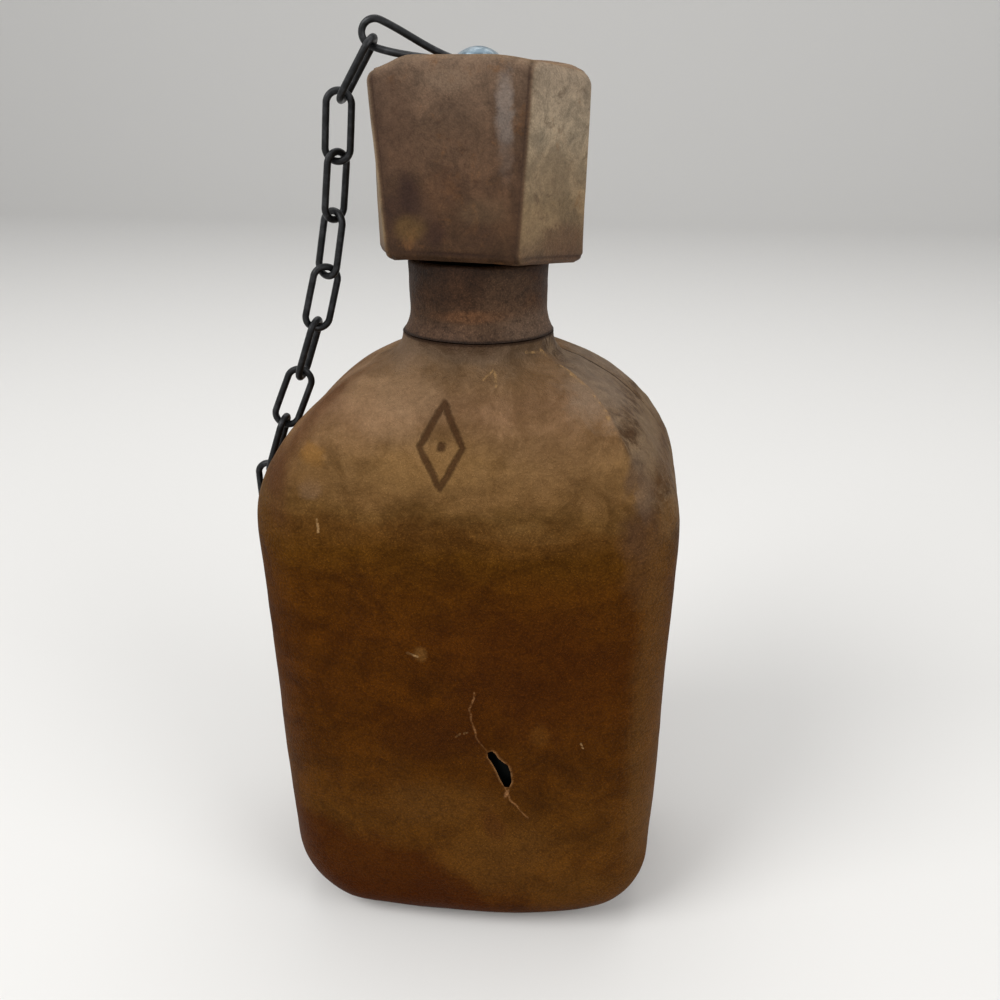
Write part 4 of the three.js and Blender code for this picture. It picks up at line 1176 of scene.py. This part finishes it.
def neck_sleeve():
    """A leather tube round the neck that flares over the collar."""
    bottom = COLLAR_TOP + 0.3 * MM
    outside = []
    for i in range(17):
        t = i / 16
        radius = (1 - t) ** 2 * COLLAR_RADIUS + 2 * t * (1 - t) * SLEEVE_WAIST + t * t * SLEEVE_WAIST
        z = (1 - t) ** 2 * bottom + 2 * t * (1 - t) * (bottom + 2.33 * MM) + t * t * (bottom + 7 * MM)
        outside.append((radius, z))
    high = SLEEVE_TOP - 1 * MM
    start = outside[-1][1]
    outside += [(SLEEVE_WAIST + 0.3 * MM * i / 12, start + (high - start) * i / 12) for i in range(1, 12)]
    rim = [(17.7 * MM + 1 * MM * math.cos(math.radians(a)), high + 1 * MM * math.sin(math.radians(a)))
           for a in (0, 22, 45, 68, 90)]
    profile = [(NECK_INSIDE, bottom)] + outside + rim + [(NECK_INSIDE, SLEEVE_TOP), (NECK_INSIDE, bottom)]
    piece = spun("neck_leather", profile, 120)
    points, normals = points_of(piece), normals_of(piece)
    outer = np.hypot(points[:, 0], points[:, 1]) > NECK_INSIDE + 0.5 * MM
    stretched = points * np.array([1, 1, 4])
    lift = (0.14 * rough(stretched, 70, 3, 6.0) + 0.1 * rough(points, 40, 2, 3.0)) * outer
    place_points(piece, points + normals * (lift * MM)[:, None])
    return piece


# Chain


def one_link():
    """An oval link: a ring pulled apart along X."""
    bpy.ops.object.select_all(action="DESELECT")
    bpy.ops.mesh.primitive_torus_add(major_segments=56, minor_segments=16, major_radius=BOW_RADIUS,
                                     minor_radius=WIRE_RADIUS)
    link = bpy.context.object
    mesh = link.data
    for vertex in mesh.vertices:
        x = vertex.co.x
        vertex.co.x += HALF_LEG * (1 if x > 1e-6 else -1 if x < -1e-6 else 0)
    mesh.update()
    return link


def axes_of(node):
    """Middle and longest, middle and shortest directions of a link of the frame."""
    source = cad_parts[node]
    points = np.array([source.matrix_world @ v.co for v in source.data.vertices])
    unique = np.unique(np.round(points, 7), axis=0)
    middle = unique.mean(axis=0)
    _, _, rows = np.linalg.svd(unique - middle, full_matrices=False)
    return Vector(middle), Vector(rows[0]), Vector(rows[1])


def place_link(link, node, name):
    middle, along, across = axes_of(node)
    normal = along.cross(across)
    piece = twin_of(link, name)
    turn = Matrix((along, across, normal)).transposed().to_4x4()
    piece.data.transform(Matrix.Translation(middle) @ turn)
    return piece


def end_link():
    """The bent and twisted end link, rounded from the frame's wire."""
    piece = copy_of("chain_link_01", "end_link")
    edit(piece, lambda: bpy.ops.mesh.tris_convert_to_quads(face_threshold=1.2, shape_threshold=1.2))
    apply(piece, "SUBSURF", levels=2, render_levels=2)
    edit(piece, lambda: bpy.ops.transform.shrink_fatten(value=0.075 * MM))
    return piece


def raise_head(piece):
    """Fills out the screw's worn dome, which stands a little above the leather's rim."""
    points = points_of(piece)
    seat = points[:, 2].max() - HEAD_HEIGHT
    head = points[:, 2] > seat - 0.05 * MM
    points[head, :2] *= 1.12
    points[head, 2] = seat + (points[head, 2] - seat) * 1.55
    place_points(piece, points)


# Lamps by name, place, size and power
LAMPS = (("key", (-0.75, -0.75, 1.05), 0.8, 9.5), ("fill", (0.95, -0.7, 0.7), 0.9, 5.0),
         ("top", (0.0, 0.35, 1.35), 1.0, 5.0))
LAMPS_AIM = Vector((0, 0, 0.12))
# Camera: degrees round the decanter, panned, pitched down and rolled, and its standpoint in metres
CAMERA_ANGLES = (7.37, 1.21, 21.02, 0.31)
CAMERA_AWAY = 0.2832
CAMERA_HEIGHT = 0.2327


# Sizes and colours that a user may change


class LeatherSettings(bpy.types.PropertyGroup):
    thickness: FloatProperty(name="Thickness", description="Thickness of the body leather", default=1.7 * MM,
                             unit="LENGTH")
    voxel: FloatProperty(name="Fineness", description="Size of the body surface's faces", default=1.25 * MM,
                         unit="LENGTH")


class StageSettings(bpy.types.PropertyGroup):
    floor: FloatVectorProperty(name="Floor", description="Colour of the floor and backdrop", subtype="COLOR",
                               default=(0.8, 0.79, 0.77))
    lens: FloatProperty(name="Lens", description="Focal length of the camera", default=37.8)


finishes = None


def finish(name):
    global finishes
    if finishes is None:
        finishes = Finishes()
    return finishes.get(name)


class DECANTER_OT_body(bpy.types.Operator):
    """Make the front and back leathers of the body"""
    bl_idname = "decanter.body"
    bl_label = "Body leathers"

    def execute(self, context):
        settings = context.scene.decanter_leather
        skin = body_skin(settings.voxel)
        work_leather(skin)
        for front, name, node in ((True, "front_skin", "front_leather"), (False, "back_skin", "back_leather")):
            piece = twin_of(skin, name)
            cut_leather(piece, front)
            apply(piece, "SOLIDIFY", thickness=settings.thickness, offset=-1, use_even_offset=True)
            if front:
                tear_leather(piece)
            points = points_of(piece)
            flat = points[:, (0, 2)] * 1000
            hole = distance_to_line(flat, HOLE + HOLE[:1])
            outer = normals_of(piece)[:, 1] < 0
            store(piece, "torn", hill(hole, 0, 0.35) * outer * front)
            # The tear's inner wall, for its painted shade.
            store(piece, "hole_shade", hill(hole, 0, 0.6) * ~outer * front)
            finish_piece(piece, "bottle", node, finish("body_leather"), angle=60)
        bpy.data.objects.remove(skin)
        return {"FINISHED"}


class DECANTER_OT_neck(bpy.types.Operator):
    """Make the neck's leather sleeve"""
    bl_idname = "decanter.neck"
    bl_label = "Neck sleeve"

    def execute(self, context):
        finish_piece(neck_sleeve(), "bottle", "neck_sleeve", finish("neck_leather"), angle=50)
        return {"FINISHED"}


class DECANTER_OT_stopper(bpy.types.Operator):
    """Make the stopper's leathers, core and cork"""
    bl_idname = "decanter.stopper"
    bl_label = "Stopper"

    def execute(self, context):
        finish_piece(side_wrap(), "stopper", "stopper_side_wrap", finish("block_leather"), angle=60)
        finish_piece(top_plate(), "stopper", "stopper_top_leather", finish("plate_leather"))
        for node, name, look, bevel in (("stopper_bottom_leather", "bottom_plate", "plate_leather", 0.3),
                                        ("stopper_core", "wood_core", "pine", 0.3),
                                        ("cork_plug", "cork", "cork", 0.4)):
            piece = copy_of(node, name)
            soften(piece, bevel * MM)
            if name != "cork":
                edit(piece, lambda: bpy.ops.mesh.subdivide(number_cuts=5))
                place_points(piece, droop(points_of(piece)))
            finish_piece(piece, "stopper", node, finish(look))
        return {"FINISHED"}


class DECANTER_OT_fastenings(bpy.types.Operator):
    """Make the domed screw and the chain's nail"""
    bl_idname = "decanter.fastenings"
    bl_label = "Screw and nail"

    def execute(self, context):
        for node, name, body, look in (("stopper_screw", "domed_screw", "stopper", "pewter"),
                                       ("anchor_nail", "chain_nail", "bottle", "black_iron")):
            piece = copy_of(node, name)
            soften(piece, 0.25 * MM)
            if body == "stopper":
                raise_head(piece)
            finish_piece(piece, body, node, finish(look))
        return {"FINISHED"}


class DECANTER_OT_chain(bpy.types.Operator):
    """Make the chain's links"""
    bl_idname = "decanter.chain"
    bl_label = "Chain"

    def execute(self, context):
        finish_piece(end_link(), "chain_link_01_body", "chain_link_01", finish("black_iron"), angle=180)
        link = one_link()
        for i in range(2, 14):
            node = f"chain_link_{i:02d}"
            piece = place_link(link, node, f"link_{i:02d}")
            body = "bottle" if i == 13 else node + "_body"
            finish_piece(piece, body, node, finish("black_iron"), angle=180)
        bpy.data.objects.remove(link)
        return {"FINISHED"}


class DECANTER_OT_glass(bpy.types.Operator):
    """Make the glass flask and its base leather"""
    bl_idname = "decanter.glass"
    bl_label = "Glass and base"

    def execute(self, context):
        glass = copy_of("glass_flask", "glass")
        finish_piece(glass, "bottle", "glass_flask", finish("bottle_glass"), angle=40)
        base = copy_of("base_leather", "base_plate")
        soften(base, 0.4 * MM)
        finish_piece(base, "bottle", "base_leather", finish("base_leather"))
        return {"FINISHED"}


def make_floor(colour):
    """A pale floor that curves up behind."""
    bpy.ops.object.select_all(action="DESELECT")
    bpy.ops.mesh.primitive_plane_add(size=3, location=(0, 0.3, 0))
    floor = bpy.context.object
    floor.name = "floor"
    bpy.ops.object.transform_apply(location=True, rotation=True, scale=True)
    bpy.ops.object.mode_set(mode="EDIT")
    bpy.ops.mesh.select_all(action="DESELECT")
    mesh = bmesh.from_edit_mesh(floor.data)
    for edge in mesh.edges:
        edge.select = all(v.co.y > 1 for v in edge.verts)
    bmesh.update_edit_mesh(floor.data)
    bpy.ops.mesh.extrude_region_move(TRANSFORM_OT_translate={"value": (0, 0, 1.8)})
    mesh = bmesh.from_edit_mesh(floor.data)
    for edge in mesh.edges:
        edge.select = all(v.co.y > 1 and v.co.z < 0.1 for v in edge.verts)
    bmesh.update_edit_mesh(floor.data)
    bpy.ops.mesh.bevel(offset=0.9, segments=24)
    bpy.ops.object.mode_set(mode="OBJECT")
    material, _, shader = start_material("pale floor")
    shader.inputs["Base Color"].default_value = (*colour, 1)
    shader.inputs["Roughness"].default_value = 0.85
    shader.inputs["Specular IOR Level"].default_value = 0.2
    floor.data.materials.append(material)
    only(floor)
    bpy.ops.object.shade_smooth()


def make_lamps():
    for name, place, size, power in LAMPS:
        lamp = bpy.data.lights.new(name, "AREA")
        lamp.shape, lamp.size, lamp.energy = "DISK", size, power
        light = bpy.data.objects.new(name, lamp)
        bpy.context.scene.collection.objects.link(light)
        light.location = place
        light.rotation_mode = "QUATERNION"
        light.rotation_quaternion = (LAMPS_AIM - Vector(place)).to_track_quat("-Z", "Y")


def make_world():
    """Soft light all round, seen as white."""
    world = bpy.data.worlds.new("studio")
    bpy.context.scene.world = world
    world.use_nodes = True
    tree = Nodes(world.node_tree)
    world.node_tree.nodes.clear()
    path = tree.add("ShaderNodeLightPath").outputs
    seen = tree.math("MAXIMUM", path["Is Camera Ray"],
                     tree.math("MAXIMUM", path["Is Glossy Ray"], path["Is Transmission Ray"]))
    soft = tree.add("ShaderNodeBackground", {"Color": (1, 1, 1, 1), "Strength": 0.5})
    white = tree.add("ShaderNodeBackground", {"Color": (1, 1, 1, 1), "Strength": 1.0})
    blend = tree.add("ShaderNodeMixShader")
    tree.set(blend.inputs[0], seen)
    tree.set(blend.inputs[1], soft.outputs[0])
    tree.set(blend.inputs[2], white.outputs[0])
    tree.set(tree.add("ShaderNodeOutputWorld").inputs[0], blend.outputs[0])


def make_camera(lens):
    """The photograph's own standpoint."""
    camera = bpy.data.objects.new("camera", bpy.data.cameras.new("camera"))
    bpy.context.scene.collection.objects.link(camera)
    camera.data.lens, camera.data.sensor_width = lens, 36
    camera.data.clip_start = 0.01
    around, pan, pitch, roll = (math.radians(a) for a in CAMERA_ANGLES)
    heading = around - pan
    forward = Vector((-math.sin(heading) * math.cos(pitch), math.cos(heading) * math.cos(pitch),
                      -math.sin(pitch)))
    right = Vector((math.cos(heading), math.sin(heading), 0))
    up = right.cross(forward)
    level, rise = (right * math.cos(roll) + up * math.sin(roll), up * math.cos(roll) - right * math.sin(roll))
    stand = Vector((CAMERA_AWAY * math.sin(around), -CAMERA_AWAY * math.cos(around), CAMERA_HEIGHT))
    camera.matrix_world = Matrix.Translation(stand) @ Matrix((level, rise, -forward)).transposed().to_4x4()
    bpy.context.scene.camera = camera


class DECANTER_OT_stage(bpy.types.Operator):
    """Make the floor, lights, world and camera"""
    bl_idname = "decanter.stage"
    bl_label = "Stage"

    def execute(self, context):
        settings = context.scene.decanter_stage
        make_floor(settings.floor)
        make_lamps()
        make_world()
        make_camera(settings.lens)
        context.scene.view_settings.view_transform = "Standard"
        return {"FINISHED"}


class DECANTER_PT_panel(bpy.types.Panel):
    """Sidebar panel with the decanter's steps"""
    bl_idname = "DECANTER_PT_panel"
    bl_label = "Decanter"
    bl_space_type = "VIEW_3D"
    bl_region_type = "UI"
    bl_category = "Decanter"

    def draw(self, context):
        column = self.layout.column()
        for group in (context.scene.decanter_leather, context.scene.decanter_stage):
            for name in group.__annotations__:
                column.prop(group, name)
        for step in STEPS:
            column.operator(step.bl_idname)


STEPS = (DECANTER_OT_stage, DECANTER_OT_glass, DECANTER_OT_body, DECANTER_OT_neck, DECANTER_OT_stopper,
         DECANTER_OT_fastenings, DECANTER_OT_chain)
CLASSES = (LeatherSettings, StageSettings, *STEPS, DECANTER_PT_panel)


def register():
    for each in CLASSES:
        bpy.utils.register_class(each)
    bpy.types.Scene.decanter_leather = PointerProperty(type=LeatherSettings)
    bpy.types.Scene.decanter_stage = PointerProperty(type=StageSettings)


def unregister():
    del bpy.types.Scene.decanter_stage
    del bpy.types.Scene.decanter_leather
    for each in reversed(CLASSES):
        bpy.utils.unregister_class(each)


def main():
    register()
    for step in STEPS:
        getattr(bpy.ops.decanter, step.bl_idname.split(".")[1])()


if __name__ == "__main__":
    main()
